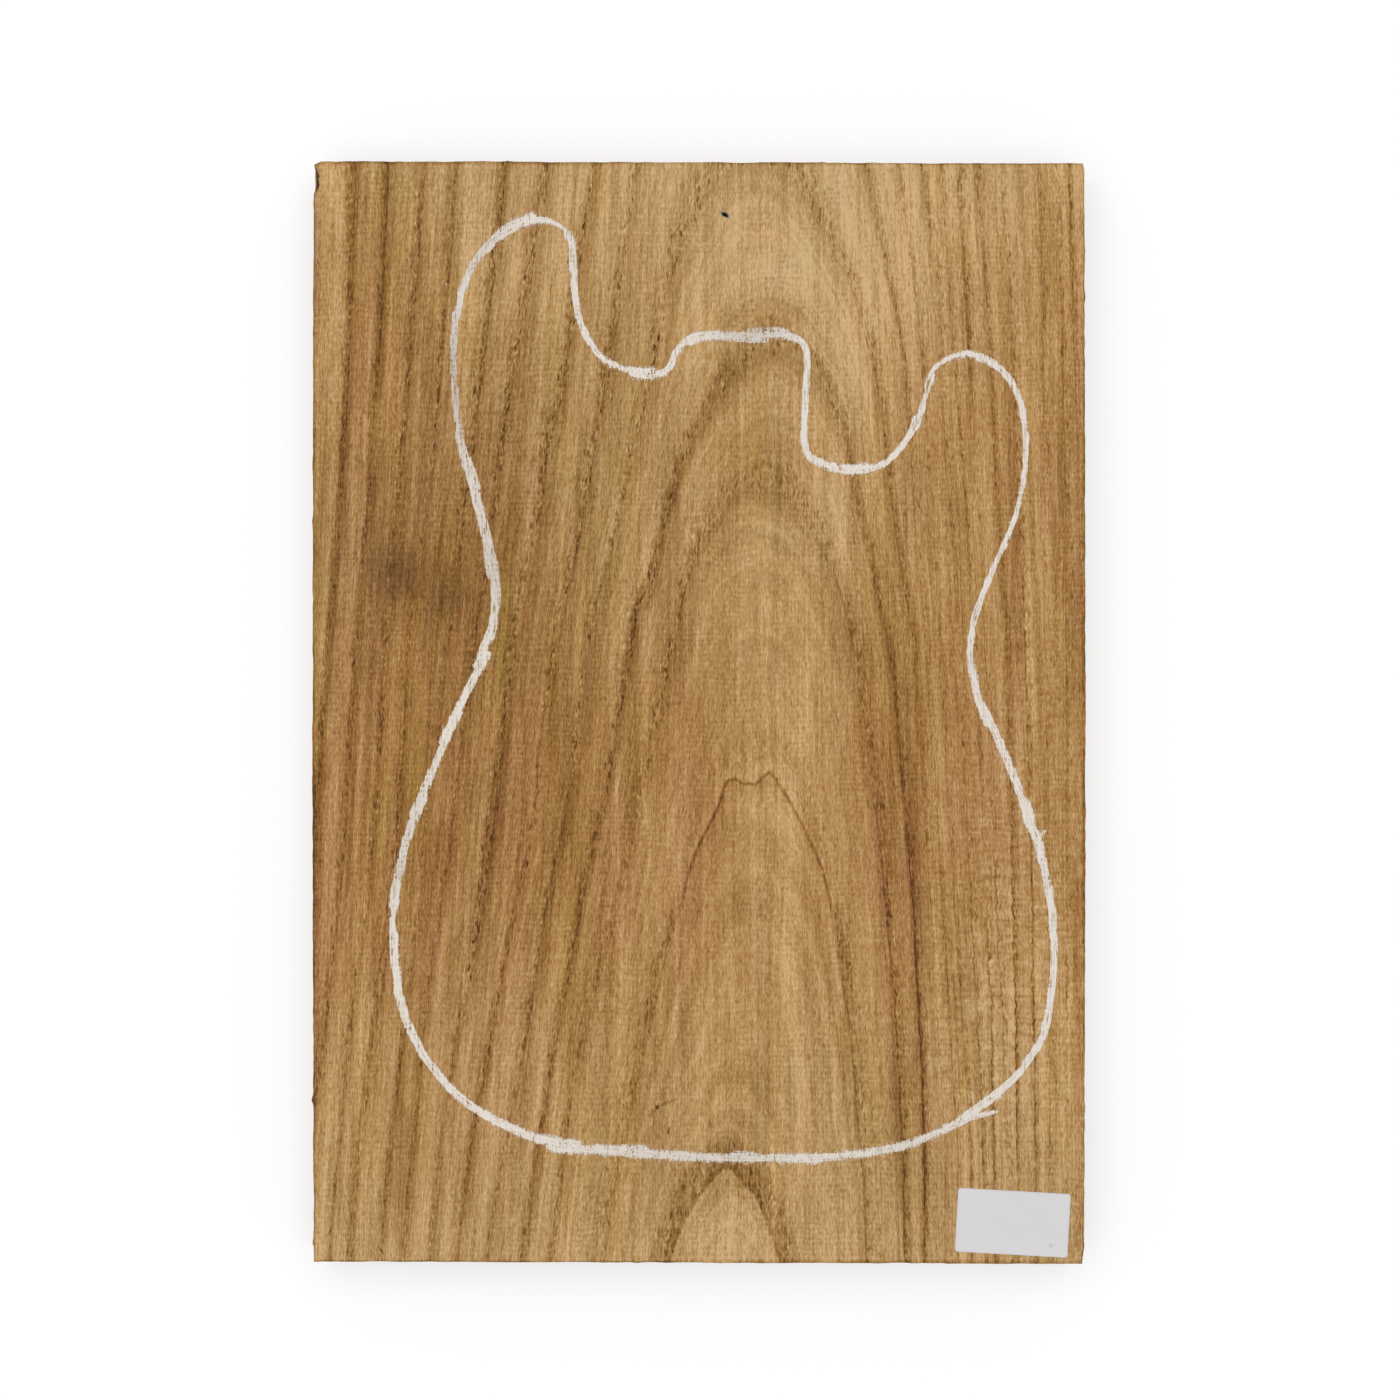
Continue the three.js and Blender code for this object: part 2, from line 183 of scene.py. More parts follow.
# Where the ring lines run on the face: the ring, how dark it is at four places from the neck end to the
# tail end, and places on the line
LEFT_LINES = (
    (0, (0, 0, 0, 3.8), (
        (9.5, -221.8), (2.3, -229.1), (-4.3, -239.0), (-12, -255.4), (-14.2, -263.0),
    )),
    (1, (0, 0, 1.6, 1.5), (
        (8, -42.1), (0.8, -56.6), (-4, -71), (-6.4, -85.5), (-14.6, -114.4), (-37.7, -215.5),
        (-44.9, -258.8),
    )),
    (2, (0, 1.7, 1.6, 1.8), (
        (19.7, 106.7), (14, 102.3), (8.9, 90.3), (1.7, 80.7), (-4.1, 68.6), (-8.9, 49.4), (-11.8, 30.1),
        (-19, 1.2), (-21.9, -22.9), (-27.2, -37.3), (-37.8, -95.1), (-44.1, -114.4), (-58.5, -167.3),
        (-63.8, -205.8), (-69.1, -258.8),
    )),
    (3, (3.0, 3.2, 2.6, 3.2), (
        (27.9, 171.2), (18.3, 162.5), (6.3, 145.7), (-6.3, 120.6), (-15.2, 92.7), (-17.6, 78.2),
        (-22.4, 59), (-29.1, 46.9), (-42.6, -32.5), (-50.3, -63.8), (-70.5, -172.1), (-77.8, -215.5),
        (-83.1, -258.8),
    )),
    (4, (1.9, 0.9, 2.0, 2.2), (
        (18.8, 263.1), (6.3, 252.5), (-9.6, 219.8), (-13, 210.2), (-15.4, 198.6), (-18.1, 174.5),
        (-32, 121.6), (-40.7, 83.1), (-50.3, 49.4), (-59.9, -27.7), (-70.5, -75.8), (-85.5, -177),
        (-91.7, -205.8), (-100.9, -258.8),
    )),
    (5, (2.3, 1.3, 1.1, 3.2), (
        (-29.6, 256.4), (-34.9, 222.7), (-36.8, 203.4), (-48.4, 131.2), (-56.1, 90.3), (-68.1, 34.9),
        (-74.9, -18.1), (-79.2, -66.2), (-83.5, -80.7), (-93.2, -124), (-109.1, -205.8), (-115.3, -258.8),
    )),
    (6, (3.0, 1.0, 2.8, 1.3), (
        (-48.9, 261.2), (-54.7, 232.3), (-62.4, 164.9), (-65.7, 150.5), (-70.5, 136), (-74.9, 102.3),
        (-85, 54.2), (-102.3, -85.5), (-123.5, -210.7), (-128.3, -254),
    )),
    (7, (2.3, 1.8, 0.7, 1.8), (
        (-71.5, 261.2), (-85.9, 174.5), (-91.2, 150.5), (-97.5, 97.5), (-108.1, 30.1), (-120.1, -66.2),
        (-130.7, -138.4), (-136, -201), (-141.3, -258.8),
    )),
    (8, (2.7, 0.8, 1.0, 3.1), (
        (-92.7, 261.2), (-96.5, 222.7), (-107.6, 136), (-148.5, -215.5), (-151.4, -254),
    )),
    (9, (2.5, 0.8, 2.3, 2.6), (
        (-116.3, 261.2), (-119.2, 222.7), (-126.9, 126.4), (-137, 54.2), (-139.4, 30.1), (-146.1, -90.3),
        (-152.4, -138.4), (-165.4, -234.7), (-166.8, -258.8),
    )),
    (10, (2.2, 1.4, 1.8, 2.5), (
        (-132.2, 261.2), (-134.6, 222.7), (-140.8, 150.5), (-157.7, -80.7), (-163.5, -119.2),
        (-169.2, -167.3), (-177, -258.8),
    )),
    (11, (2.7, 2.1, 1.8, 1.5), (
        (-149, 261.2), (-151.9, 198.6), (-158.2, 102.3), (-163, 54.2), (-170.2, -66.2), (-174.5, -114.4),
        (-182.2, -177),
    )),
    (12, (3.2, 3.4, 2.0, 2.0), (
        (-164.9, 261.2), (-166.8, 198.6), (-171.7, 102.3), (-181.3, -18.1),
    )),
)
RIGHT_LINES = (
    (0, (0, 0, 0, 4.0), (
        (12.5, -220.6), (15.4, -222), (25.3, -232.4), (30.8, -243.4), (37.4, -262.0),
    )),
    (1, (0, 0, 2.0, 1.3), (
        (8.2, -40.7), (10.6, -35.9), (13.5, -32.5), (16.9, -32.5), (19.7, -33.5), (24.6, -36.4),
        (27.4, -33.9), (31.8, -29.1), (33.7, -29.1), (41.2, -42.0), (57.9, -74.9), (62.7, -90.3),
        (72.4, -152.9), (79.1, -225.1), (80.6, -258.8),
    )),
    (2, (1.6, 1.7, 2.1, 2.1), (
        (27, 108.1), (34.2, 106.7), (41.4, 102.8), (47.7, 96.5), (61.9, 73.4), (70.5, 49.4), (73.9, 32.5),
        (86.4, -66.2), (94.1, -148.1), (97.5, -210.7), (98.5, -258.8),
    )),
    (3, (2.5, 2.1, 2.9, 3.8), (
        (33.2, 173.1), (39, 172.1), (47.2, 168.3), (54.4, 163), (59.5, 157.7), (63.3, 148.1),
        (70.5, 126.4), (90.8, 30.1), (93.7, 10.8), (102.8, -90.3), (106.7, -162.5), (108.1, -210.7),
        (108.1, -258.8),
    )),
    (4, (2.5, 1.9, 0.8, 0.6), (
        (40.9, 262.2), (56.3, 237.1), (75.1, 198.6), (85, 160.1), (87.9, 140.8), (92.2, 102.3),
        (98, 63.8), (104.2, 30.1), (118.7, -210.7), (118.7, -258.8),
    )),
    (5, (2.7, 0.7, 0.8, 1.0), (
        (79.7, 261.2), (98, 174.5), (100.4, 150.5), (104.2, 102.3), (124.5, -210.7), (124.5, -258.8),
    )),
    (6, (1.7, 0.6, 0.8, 1.4), (
        (97, 261.2), (98, 246.8), (105.2, 189), (130.2, -210.7), (130.7, -258.8),
    )),
    (7, (1.4, 0.8, 1.0, 2.2), (
        (106.2, 261.2), (113.9, 212.0), (116.8, 184.2), (136, -201),
    )),
    (8, (2.0, 1.8, 0.9, 3.0), (
        (116.3, 261.2), (118.7, 232.3), (121.1, 177), (130.7, 73.4), (141.3, -138.4), (141.3, -186.6),
    )),
    (9, (2.2, 0.9, 0.9, 1.2), (
        (123.5, 251.6), (128.3, 198.6), (145.7, -162.5),
    )),
    (10, (2.7, 1.0, 2.0, 4.0), (
        (133.6, 261.2), (138.4, 198.6), (142.3, 111.9), (147.6, 44.5), (151.9, -138.4), (153.4, -258.8),
    )),
    (11, (1.7, 2.1, 1.5, 2.0), (
        (145.4, 261.2), (145.4, 246.8), (149.3, 198.6), (154.1, 92.7), (160.3, -75.8), (161.8, -210.7),
    )),
    (12, (1.2, 0.6, 0.6, 1.4), (
        (163.5, 261.2), (166.4, 198.6), (169.2, -148.1), (169.2, -258.8),
    )),
    (13, (1.6, 1.2, 1.0, 1.0), (
        (170.7, 261.2), (172.6, 237.1), (176, 83.1), (176.5, -234.7),
    )),
)
# The four places along the board, the furthest that two places on a line may lie apart, and how far from the
# heart the tables of both sides are mixed
DARKNESS_PLACES = (208.0, 78.0, -66.0, -202.0)
LINE_STEP = 25.0
HEART_BLEND = 30.0

# The sharp crest of ring 1, from its left leg over both peaks to its right leg
CREST = (
    (-12.0, -104.0), (-7.9, -90.0), (-5.5, -78.2), (-0.4, -64.0), (5.7, -52.9), (9.7, -43.7), (12.4, -35.2),
    (13.6, -32.9), (15.4, -32.4), (17.3, -32.2), (19.3, -33.0), (21.4, -34.4), (24.2, -34.2), (27.0, -34.6),
    (29.2, -32.6), (31.6, -30.2), (33.9, -28.5), (36.6, -31.4), (43.3, -41.7), (51.4, -57.0), (59.5, -75.2),
    (63.6, -92.0), (65.4, -104.0),
)

# The crest of ring 0 at the tail end, likewise, and how much closer together it is measured along the board
TAIL_CREST = (
    (-16.5, -276.0), (-13.4, -263.6), (-11.0, -255.4), (-6.5, -244.5), (-1.0, -235.3), (4.6, -227.6),
    (9.0, -222.6), (11.8, -219.8), (14.4, -219.3), (17.0, -222.0), (20.6, -227.2), (26.3, -231.8),
    (29.2, -238.0), (31.1, -242.7), (35.6, -255.4), (38.4, -263.6), (42.0, -276.0),
)
TAIL_SQUEEZE = 0.62
# Where along the board the crests of ring 1 and of ring 0 take over from the ring lines
CREST_FADE = (-102, -84)
TAIL_FADE = (-188, -204)

# How far the grain leans to the right on its way up the board: place across, and the lean
GRAIN_LEANS = (
    (-178, 0.025), (-150, 0.035), (-120, 0.055), (-90, 0.065), (-60, 0.05), (-30, 0.03), (0, 0.01), (30, 0.0),
    (60, -0.01), (90, -0.03), (110, -0.04), (140, -0.025), (176, -0.008),
)

# Straight streaks along the grain: place across, the two ends along the board, half width and change of tone
STREAKS = (
    (-40, 14, -74, 1.7, 17), (-29, 108, 62, 1.5, 14), (-26, 38, -38, 1.6, 9), (-178, 110, -270, 3.0, 8),
    (51, 26, -12, 4.5, 14), (118.6, 245, 155, 2.0, 8), (132.6, 96, 14, 2.2, 8), (44.5, -100, -192, 5.0, 10),
    (10, -112, -205, 5.0, 7), (25.5, 104, -4, 1.3, -8), (-25.5, -160, -206, 1.9, 13), (-66, 108, 20, 1.6, 9),
    (-47.7, 134, 38, 1.5, 8), (-119, 8, -268, 1.3, -8), (-30.8, 152, 4, 1.3, -7), (-40.4, 270, 124, 1.3, -7),
    (-137, 30, -60, 2.0, 8), (-60, -20, -100, 2.2, -8), (64, 150, 60, 1.8, 7), (0, 240, 190, 2.0, 7),
    (86, -20, -140, 2.4, -7), (-92, 250, 200, 1.8, 8), (160, 60, -40, 1.8, 7), (-8, 60, 0, 2.0, -6),
)

# Darker and lighter wood between the ring lines: -1 left or 1 right of the heart, the middle as a ring
# number, the two ends along the board, half the breadth in rings and change of tone
ZONES = (
    (-1, 2.4, 100, -180, 0.16, -9), (-1, 3.85, 30, -140, 0.18, -11), (-1, 4.14, 108, 66, 0.14, 20),
    (-1, 4.7, 60, -20, 0.25, -9), (-1, 5.2, 266, 190, 0.28, 15), (-1, 5.85, 262, 190, 0.16, -12),
    (-1, 6.14, 105, -135, 0.16, 13), (-1, 6.6, 100, 72, 0.2, -14), (-1, 6.5, -45, -105, 0.22, 15),
    (-1, 7.4, -60, -250, 0.55, -15), (-1, 7.65, 0, -110, 0.16, -8), (-1, 9.4, 264, -130, 0.15, -14),
    (-1, 11.4, 262, 150, 0.6, -16), (-1, 11.85, -25, -110, 0.2, -18), (-1, 12.65, 262, 190, 0.16, -14),
    (-1, 8.85, 20, -60, 0.2, -7), (-1, 4.25, -190, -262, 0.25, 8), (-1, 7.4, 262, 175, 0.3, -12),
    (-1, 10.4, 262, -140, 0.14, -10), (-1, 8.1, 175, 110, 0.12, 13), (-1, 8.38, 125, -130, 0.13, -10),
    (-1, 4.12, -25, -130, 0.14, 12), (-1, 11.5, 150, 110, 0.2, -10),
    (1, 2.4, 30, -262, 0.2, -10), (1, 2.8, -60, -200, 0.25, -8), (1, 3.4, 65, -120, 0.18, -8),
    (1, 4.2, -40, -200, 0.25, 14), (1, 4.4, 60, 26, 0.16, -20), (1, 5.0, 0, -60, 0.25, 14),
    (1, 5.65, -130, -190, 0.15, -18), (1, 6.65, 60, -10, 0.2, -13), (1, 7.45, 150, -95, 0.24, -10),
    (1, 7.8, -120, -232, 0.5, 17), (1, 9.88, -50, -255, 0.14, 26), (1, 10.4, 140, -252, 0.16, -11),
    (1, 10.8, 215, 10, 0.22, -7), (1, 11.12, 262, -165, 0.13, 15), (1, 12.6, 262, 195, 0.35, -12),
    (1, 12.5, 100, 10, 0.24, -11), (1, 13.6, -80, -262, 0.3, -18), (1, 8.2, -60, -190, 0.2, 10),
    (1, 7.08, -100, -258, 0.14, 15), (1, 9.1, -140, -260, 0.14, 18), (1, 9.88, -130, -250, 0.13, 12),
    (1, 10.6, 5, -150, 0.16, -11), (1, 9.4, 45, -60, 0.16, -12), (1, 8.85, 20, -130, 0.14, 12),
    (1, 13.1, -10, -190, 0.16, 17), (1, 5.95, 140, 60, 0.18, 14), (1, 6.9, 55, -20, 0.14, -12),
    (1, 5.6, -135, -200, 0.14, -12), (1, 11.6, -100, -255, 0.16, -11), (1, 12.2, -135, -262, 0.16, -12),
)

# Soft lighter and darker areas of the face: middle, reach across and along the board, change of tone
CLOUDS = (
    ((0, 275), (400, 45), 15), ((0, -275), (400, 40), 14), ((36, 215), (45, 60), 23),
    ((100, 220), (50, 60), 17), ((72, 150), (22, 70), 10), ((36, -40), (22, 120), 13),
    ((-115, 40), (60, 90), -25), ((-130, 64), (32, 22), -9), ((-100, -60), (50, 60), -15),
    ((103, -50), (16, 110), -19), ((160, -200), (45, 80), 15), ((-178, -200), (22, 80), 9),
    ((-140, 200), (14, 70), -7), ((35, 234), (11, 14), -9), ((178, 60), (12, 140), -6),
    ((30, 185), (30, 22), -4), ((0, -40), (14, 80), -9), ((-105, 215), (25, 30), 9),
    ((70, -210), (22, 50), 12), ((60, 85), (18, 25), 14), ((-70, 230), (20, 40), 8),
    ((182, -110), (5, 60), -14), ((88, -60), (9, 150), -8), ((-150, 110), (45, 40), -8),
    ((-172, -60), (26, 90), -9), ((-65, -60), (40, 90), -8), ((-18, -15), (26, 50), -6),
    ((-146, 66), (12, 15), -11), ((-121, 60), (10, 20), -6), ((26, -110), (24, 40), -10),
    ((118, -250), (12, 40), -6), ((-85, 90), (12, 40), -4), ((-80, 200), (30, 40), 5),
    ((70, -90), (30, 90), -3), ((-60, -120), (20, 40), -4), ((12, -252), (15, 16), 20),
    ((31, -131), (10, 22), -9), ((34, 192), (25, 8), -21), ((30, 127), (24, 10), -12),
    ((34, 64), (14, 8), -13), ((34, 87), (16, 6), 10), ((36, 150), (24, 8), -5),
    ((-186, -140), (4.5, 90), -22), ((-146, 66), (9, 11), -12), ((-119, 54), (5, 14), -10),
    ((160, -170), (28, 70), 4), ((68, -115), (20, 30), 5), ((23, -173), (20, 25), -5),
    ((-110, 117), (22, 25), -5),
)

# Areas of a warmer hue: middle, reach and strength
WARM_AREAS = (
    ((0, -60), (400, 95), 0.85), ((150, 130), (70, 120), 0.8), ((-160, 175), (40, 60), 0.5),
    ((-170, -180), (60, 70), 0.4), ((20, 60), (60, 50), 0.3), ((32, 232), (12, 14), 0.5),
    ((-45, 150), (34, 95), -0.35), ((-159, -57), (24, 60), 0.25), ((159, -57), (24, 60), 0.25),
    ((-165, -60), (22, 90), 0.3), ((162, -40), (22, 110), 0.35), ((-50, 70), (40, 40), -0.3),
)

# Areas where the grain leans and the pores are coarse: middle, reach and strength
LEANING_AREAS = (
    ((-70, 150), (55, 110), 1.2), ((-20, 40), (40, 90), 0.6), ((30, 240), (30, 30), 0.5),
    ((-110, -20), (50, 160), 0.6),
)

# Curly figure: middle, reach and strength
CURLS = (
    ((150, -130), (45, 95), 1.0), ((-90, 150), (60, 70), 0.35), ((170, 40), (30, 120), 0.35),
    ((60, -150), (40, 80), 0.3),
)

# Where the ring lines are crisp: middle, reach and strength
CRISP_AREAS = (
    ((150, -130), (45, 95), 1.0), ((98, -228), (28, 60), 0.9), ((100, -110), (15, 90), 0.5),
    ((170, 40), (30, 120), 0.35), ((60, -150), (30, 80), 0.2), ((-90, 150), (60, 70), 0.25),
)

# The middle of the drawn body, its width and length, and the middle of the chalk line, clockwise from the
# tip of the upper horn, as shares of them
DRAWN_MIDDLE = (11.8, 10.95)
DRAWN_SIZE = (317.6, 451.5)
OUTLINE_SHARES = (
    (-0.271, 0.501), (-0.242, 0.491), (-0.2305, 0.474), (-0.2275, 0.445), (-0.2225, 0.408), (-0.21, 0.38),
    (-0.188, 0.357), (-0.155, 0.342), (-0.112, 0.3355), (-0.084, 0.342), (-0.072, 0.36), (-0.045, 0.377),
    (0.02, 0.377), (0.095, 0.3775), (0.119, 0.3695), (0.126, 0.353), (0.1235, 0.31), (0.123, 0.265),
    (0.134, 0.2475), (0.17, 0.2365), (0.212, 0.2345), (0.25, 0.2455), (0.28, 0.269), (0.2985, 0.298),
    (0.315, 0.335), (0.334, 0.35), (0.37, 0.3585), (0.406, 0.3495), (0.4355, 0.33), (0.4545, 0.292),
    (0.4575, 0.24), (0.4415, 0.184), (0.404, 0.121), (0.379, 0.072), (0.375, 0.035), (0.387, -0.008),
    (0.42, -0.059), (0.4565, -0.122), (0.4845, -0.185), (0.5, -0.255), (0.4975, -0.32), (0.481, -0.371),
    (0.441, -0.414), (0.379, -0.449), (0.3, -0.48), (0.205, -0.495), (0.08, -0.4995), (-0.04, -0.498),
    (-0.16, -0.492), (-0.25, -0.485), (-0.332, -0.464), (-0.4035, -0.432), (-0.458, -0.385),
    (-0.4875, -0.337), (-0.499, -0.28), (-0.4965, -0.215), (-0.4785, -0.155), (-0.449, -0.1),
    (-0.408, -0.031), (-0.371, 0.027), (-0.3505, 0.066), (-0.3455, 0.105), (-0.355, 0.152),
    (-0.3755, 0.205), (-0.398, 0.268), (-0.4075, 0.32), (-0.4085, 0.375), (-0.398, 0.423), (-0.377, 0.456),
    (-0.346, 0.4825), (-0.309, 0.496),
)

# The strokes that the line was drawn in: the places where one starts and ends, its widths there, and how
# far beside the line it starts and ends, as shares of the usual chalk width, positive to the outside
STROKES = (
    ((-4.6, -0.3), (0.9, 1.05), (-0.1, 0.3)), ((-2.6, 1.8), (1.15, 0.55), (-0.2, 0)),
    ((1.1, 8.35), (0.95, 0.7), (0, 0.45)), ((7.3, 12.6), (0.75, 0.95), (-0.1, -0.35)),
    ((10.6, 14.3), (1, 0.85), (-0.3, 0.1)), ((12.15, 13.05), (0.4, 0.45), (0.4, 0.42)),
    ((13.8, 18.3), (0.8, 0.95), (0.1, -0.1)), ((17.8, 20.35), (0.9, 1.15), (0, 0.1)),
    ((20.1, 22.8), (0.75, 0.9), (-0.1, 0.1)), ((22.3, 24.2), (0.9, 0.5), (-0.15, -0.2)),
    ((23.6, 27.3), (0.55, 0.85), (0.2, 0)), ((26.3, 30.9), (0.95, 0.6), (-0.1, 0)),
    ((30.6, 35.6), (0.65, 1), (0, -0.2)), ((35.1, 37.4), (0.95, 1), (0.1, -0.3)),
    ((36.9, 40.9), (1.1, 0.9), (0.15, 0)), ((40.5, 43.3), (0.85, 1.1), (0.2, 0)),
    ((42.9, 46.6), (0.95, 0.85), (0.3, -0.3)), ((45.45, 48.3), (0.8, 1.15), (0.3, 0)),
    ((47.6, 49.2), (1.15, 0.9), (-0.25, 0.4)), ((48.6, 52.4), (1, 1), (-0.3, 0)),
    ((51.9, 54.35), (0.95, 1.15), (0, 0)), ((54.1, 56.8), (0.75, 1.1), (0.1, -0.15)),
    ((54.7, 55.9), (1.15, 1), (0.1, 0)), ((56.3, 58.2), (1.15, 0.8), (0.1, -0.2)),
    ((57.6, 59.4), (0.85, 1.1), (0.3, -0.35)), ((58.9, 62.6), (1.05, 1.25), (0.2, 0)),
    ((61.3, 64.2), (1.15, 1), (0.35, 0.1)), ((63.1, 66.6), (0.95, 0.85), (-0.4, 0.1)),
)

# Ends of strokes that leave the line: place, direction in degrees, length and width as shares
SPURS = ((23.5, 84, 2.2, 0.35), (37.62, 50, 1.7, 0.35), (43.35, 14.5, 4.9, 0.7), (48.35, 160, 1.3, 0.35))
SPUR_TAPER = ((0, 0.5, 0.85, 1), (1, 1.1, 0.7, 0.3))

# Where the chalk lies thin: the middle of the stretch, its half length, both in places, and how thin
THIN_CHALK = (
    (65.2, 1.6, 0.45), (61.5, 1.5, 0.25), (68.6, 1.2, 0.2), (47.0, 1.6, 0.2), (56.0, 1.2, 0.15),
    (12.3, 0.9, 0.3), (44.3, 0.8, 0.15), (2.5, 1.0, 0.1), (34.5, 1.5, 0.05),
)
# How long the narrowed ends of a stroke are, how blunt, and over what length it runs back to the line
CHALK_END = 2.8
CHALK_BLUNT = 0.4
CHALK_MERGE = 26.0
# How much the hand shakes and over what lengths, how rough the rims are, and how much wider strokes are that
# run across the board
CHALK_TREMOR = 0.22
CHALK_WAVES = (17.0, 7.3)
CHALK_ROUGHNESS = 0.16
LEVEL_WIDENING = 0.18
# The strip of chalk: its columns of points, the length of it on one row of the map, its bare margin and how
# deep that lies
CHALK_COLUMNS = 14
CHALK_ROW = 118.0
CHALK_MARGIN = 0.75
CHALK_SINK = 0.08

# The label's size, corner, middle and turn, the thickness of its glue, and a speck on it: middle and reach
LABEL_SIZE = (54.3, 30.7)
LABEL_CORNER = 1.5
LABEL_MIDDLE = (151.1, -245.7)
LABEL_TURN = math.radians(-3.2)
GLUE_THICKNESS = 0.05
LABEL_SPOT = ((169.5, -256.5), (0.75, 0.6))
# Distance between the points of the sheet, and how high it stands in waves
LABEL_STEP = 1.15
LABEL_WAVE = 0.012

# How far the floor lies under the board
FLOOR_DROP = 0.1

# The studio, in metres: the floor's rings and the sides of each, how much it glows, the lamp, and the camera
# with how far it sees
FLOOR_RADII = (0.5, 1.2, 3, 8, 20)
FLOOR_SIDES = 48
FLOOR_GLOW = 0.56
LAMP_PLACE = (-0.1, 0.15, 2.1)
LAMP_SIZE = 1.9
CAMERA_PLACE = (0.00048, 0.00602)
CAMERA_SIGHT = 100
# The width of the camera's picture inside it, in millimetres
CAMERA_FILM = 36


def srgb(red, green, blue):
    """Turns a colour as a screen shows it, 0 to 255, into the light that a shader works with."""
    shares = [value / 255 for value in (red, green, blue)]
    return tuple(s / 12.92 if s <= 0.04045 else ((s + 0.055) / 1.055) ** 2.4 for s in shares)


def smooth(low, high, value):
    """Rises from 0 at low to 1 at high without a kink."""
    share = np.clip((np.asarray(value, float) - low) / (high - low), 0, 1)
    return share * share * (3 - 2 * share)


def wander(count, reach, rng):
    """A closed row of count values that drift about 0, alike over reach values, mostly within -1 to 1."""
    waves = np.fft.rfft(rng.standard_normal(count))
    waves[0] = 0
    drift = np.fft.irfft(waves * np.exp(-((np.fft.rfftfreq(count) * reach * 2) ** 2)), count)
    return drift / (2 * drift.std())


# Looks

# Across a ring, outwards from its line: place as a share of RING_WIDTH, shade and share of early wood
RING_WIDTH = 20.0
RING_COURSE = (
    (0.0, 0.18, 0.85), (0.02, 0.06, 1.0), (0.045, 0.0, 1.0), (0.1, 0.05, 1.0), (0.15, 0.3, 0.85),
    (0.21, 0.68, 0.5), (0.275, 0.93, 0.28), (0.36, 1.02, 0.14), (0.55, 1.03, 0.07), (1.0, 0.98, 0.08),
)

# Streaks of the wood: name, size across, along and down in millimetres, and detail
FIBRES = (
    ("Bands", (7, 170, 14), 1.0), ("Streaks", (2.3, 80, 4), 1.0),
    ("Threads", (0.75, 18, 1.2), 2.0), ("Hairs", (0.56, 2.7, 0.7), 2.0),
)

# The tone of plain wood, and the tones at which the wood has its six colours, as a screen shows them
USUAL_TONE = 142.5
TONE_STEPS = (60, 85, 110, 136, 160, 183)

# What warm wood is multiplied by
WARM_CAST = (1.06, 0.98, 0.92)
# Golden streaks as size in millimetres and strength, and how much they change red, green and blue
GOLDEN_STREAKS = (((3.6, 150), 3.2), ((26, 110, 40), 2.2))
GOLDEN_CAST = (-0.015, 0.008, -0.12)

# Worn marks on the face: middle, half width and half length, turn and how much darker
WORN_MARKS = (
    ((-20.2, -190.0), (1.2, 1.3), 0.0, 95.0), ((-22.6, -193.0), (1.1, 3.6), -0.68, 34.0),
    ((-14.9, -187.8), (1.1, 5.6), -1.2, 22.0), ((-14.7, -201.5), (0.9, 2.3), -0.15, 56.0),
    ((-7.2, -179.5), (0.7, 6.0), 0.05, 18.0),
)
# Stained places, likewise, but with the share of the stain's colour
STAINS = (((-147.0, 69.0), (17.0, 17.0), 0.3, 0.24), ((-121.0, 57.0), (8.0, 17.0), 0.0, 0.2))
# How far down such a mark reaches
MARK_DEPTH = 10.0

DEEP_PORES = srgb(85, 50, 15)
STAIN = srgb(88, 68, 42)
PIT_RIM = srgb(128, 124, 106)
# painted shade inside the small hole
PIT_INSIDE_SHADE = srgb(44, 38, 34)
# painted shade in the torn hollow, darkest where it is deepest
TORN_HOLLOW_SHADE = srgb(58, 38, 22)
WOOD_DUST = srgb(178, 152, 116)

# Length and width of the streaks within a stroke of chalk
CHALK_STREAK = (11, 0.75)


# Sizes and colours


class BoardSettings(bpy.types.PropertyGroup):
    """The wooden blank."""

    outline_step: FloatProperty(
        name="Outline step", description="Distance between the points round the board's edge",
        default=1.25 * MM, min=0.5 * MM, unit="LENGTH", subtype="DISTANCE",
    )
    grain_step: FloatProperty(
        name="Face step", description="Distance across the grain between the points of the marked face",
        default=1.8 * MM, min=MM, unit="LENGTH", subtype="DISTANCE",
    )
    arris_wear: FloatProperty(
        name="Arris wear", description="How far the edge round both faces is worn back",
        default=0.34 * MM, min=0.05 * MM, unit="LENGTH", subtype="DISTANCE",
    )
    saw_wander: FloatProperty(
        name="Saw wander", description="How far the sawn edges stray from a straight cut",
        default=0.16 * MM, min=0.0, unit="LENGTH", subtype="DISTANCE",
    )
    darkest: FloatVectorProperty(
        name="Pores", description="Colour of the open pores", subtype="COLOR", size=3,
        default=srgb(117, 77, 27),
    )
    dark: FloatVectorProperty(
        name="Early wood", description="Colour at the start of a ring", subtype="COLOR", size=3,
        default=srgb(143, 103, 51),
    )
    middle: FloatVectorProperty(
        name="Wood", description="Usual colour of the wood", subtype="COLOR", size=3,
        default=srgb(168, 130, 78),
    )
    light: FloatVectorProperty(
        name="Late wood", description="Colour of the dense late wood", subtype="COLOR", size=3,
        default=srgb(188, 154, 104),
    )
    lightest: FloatVectorProperty(
        name="Palest wood", description="Colour of the palest streaks", subtype="COLOR", size=3,
        default=srgb(209, 178, 132),
    )


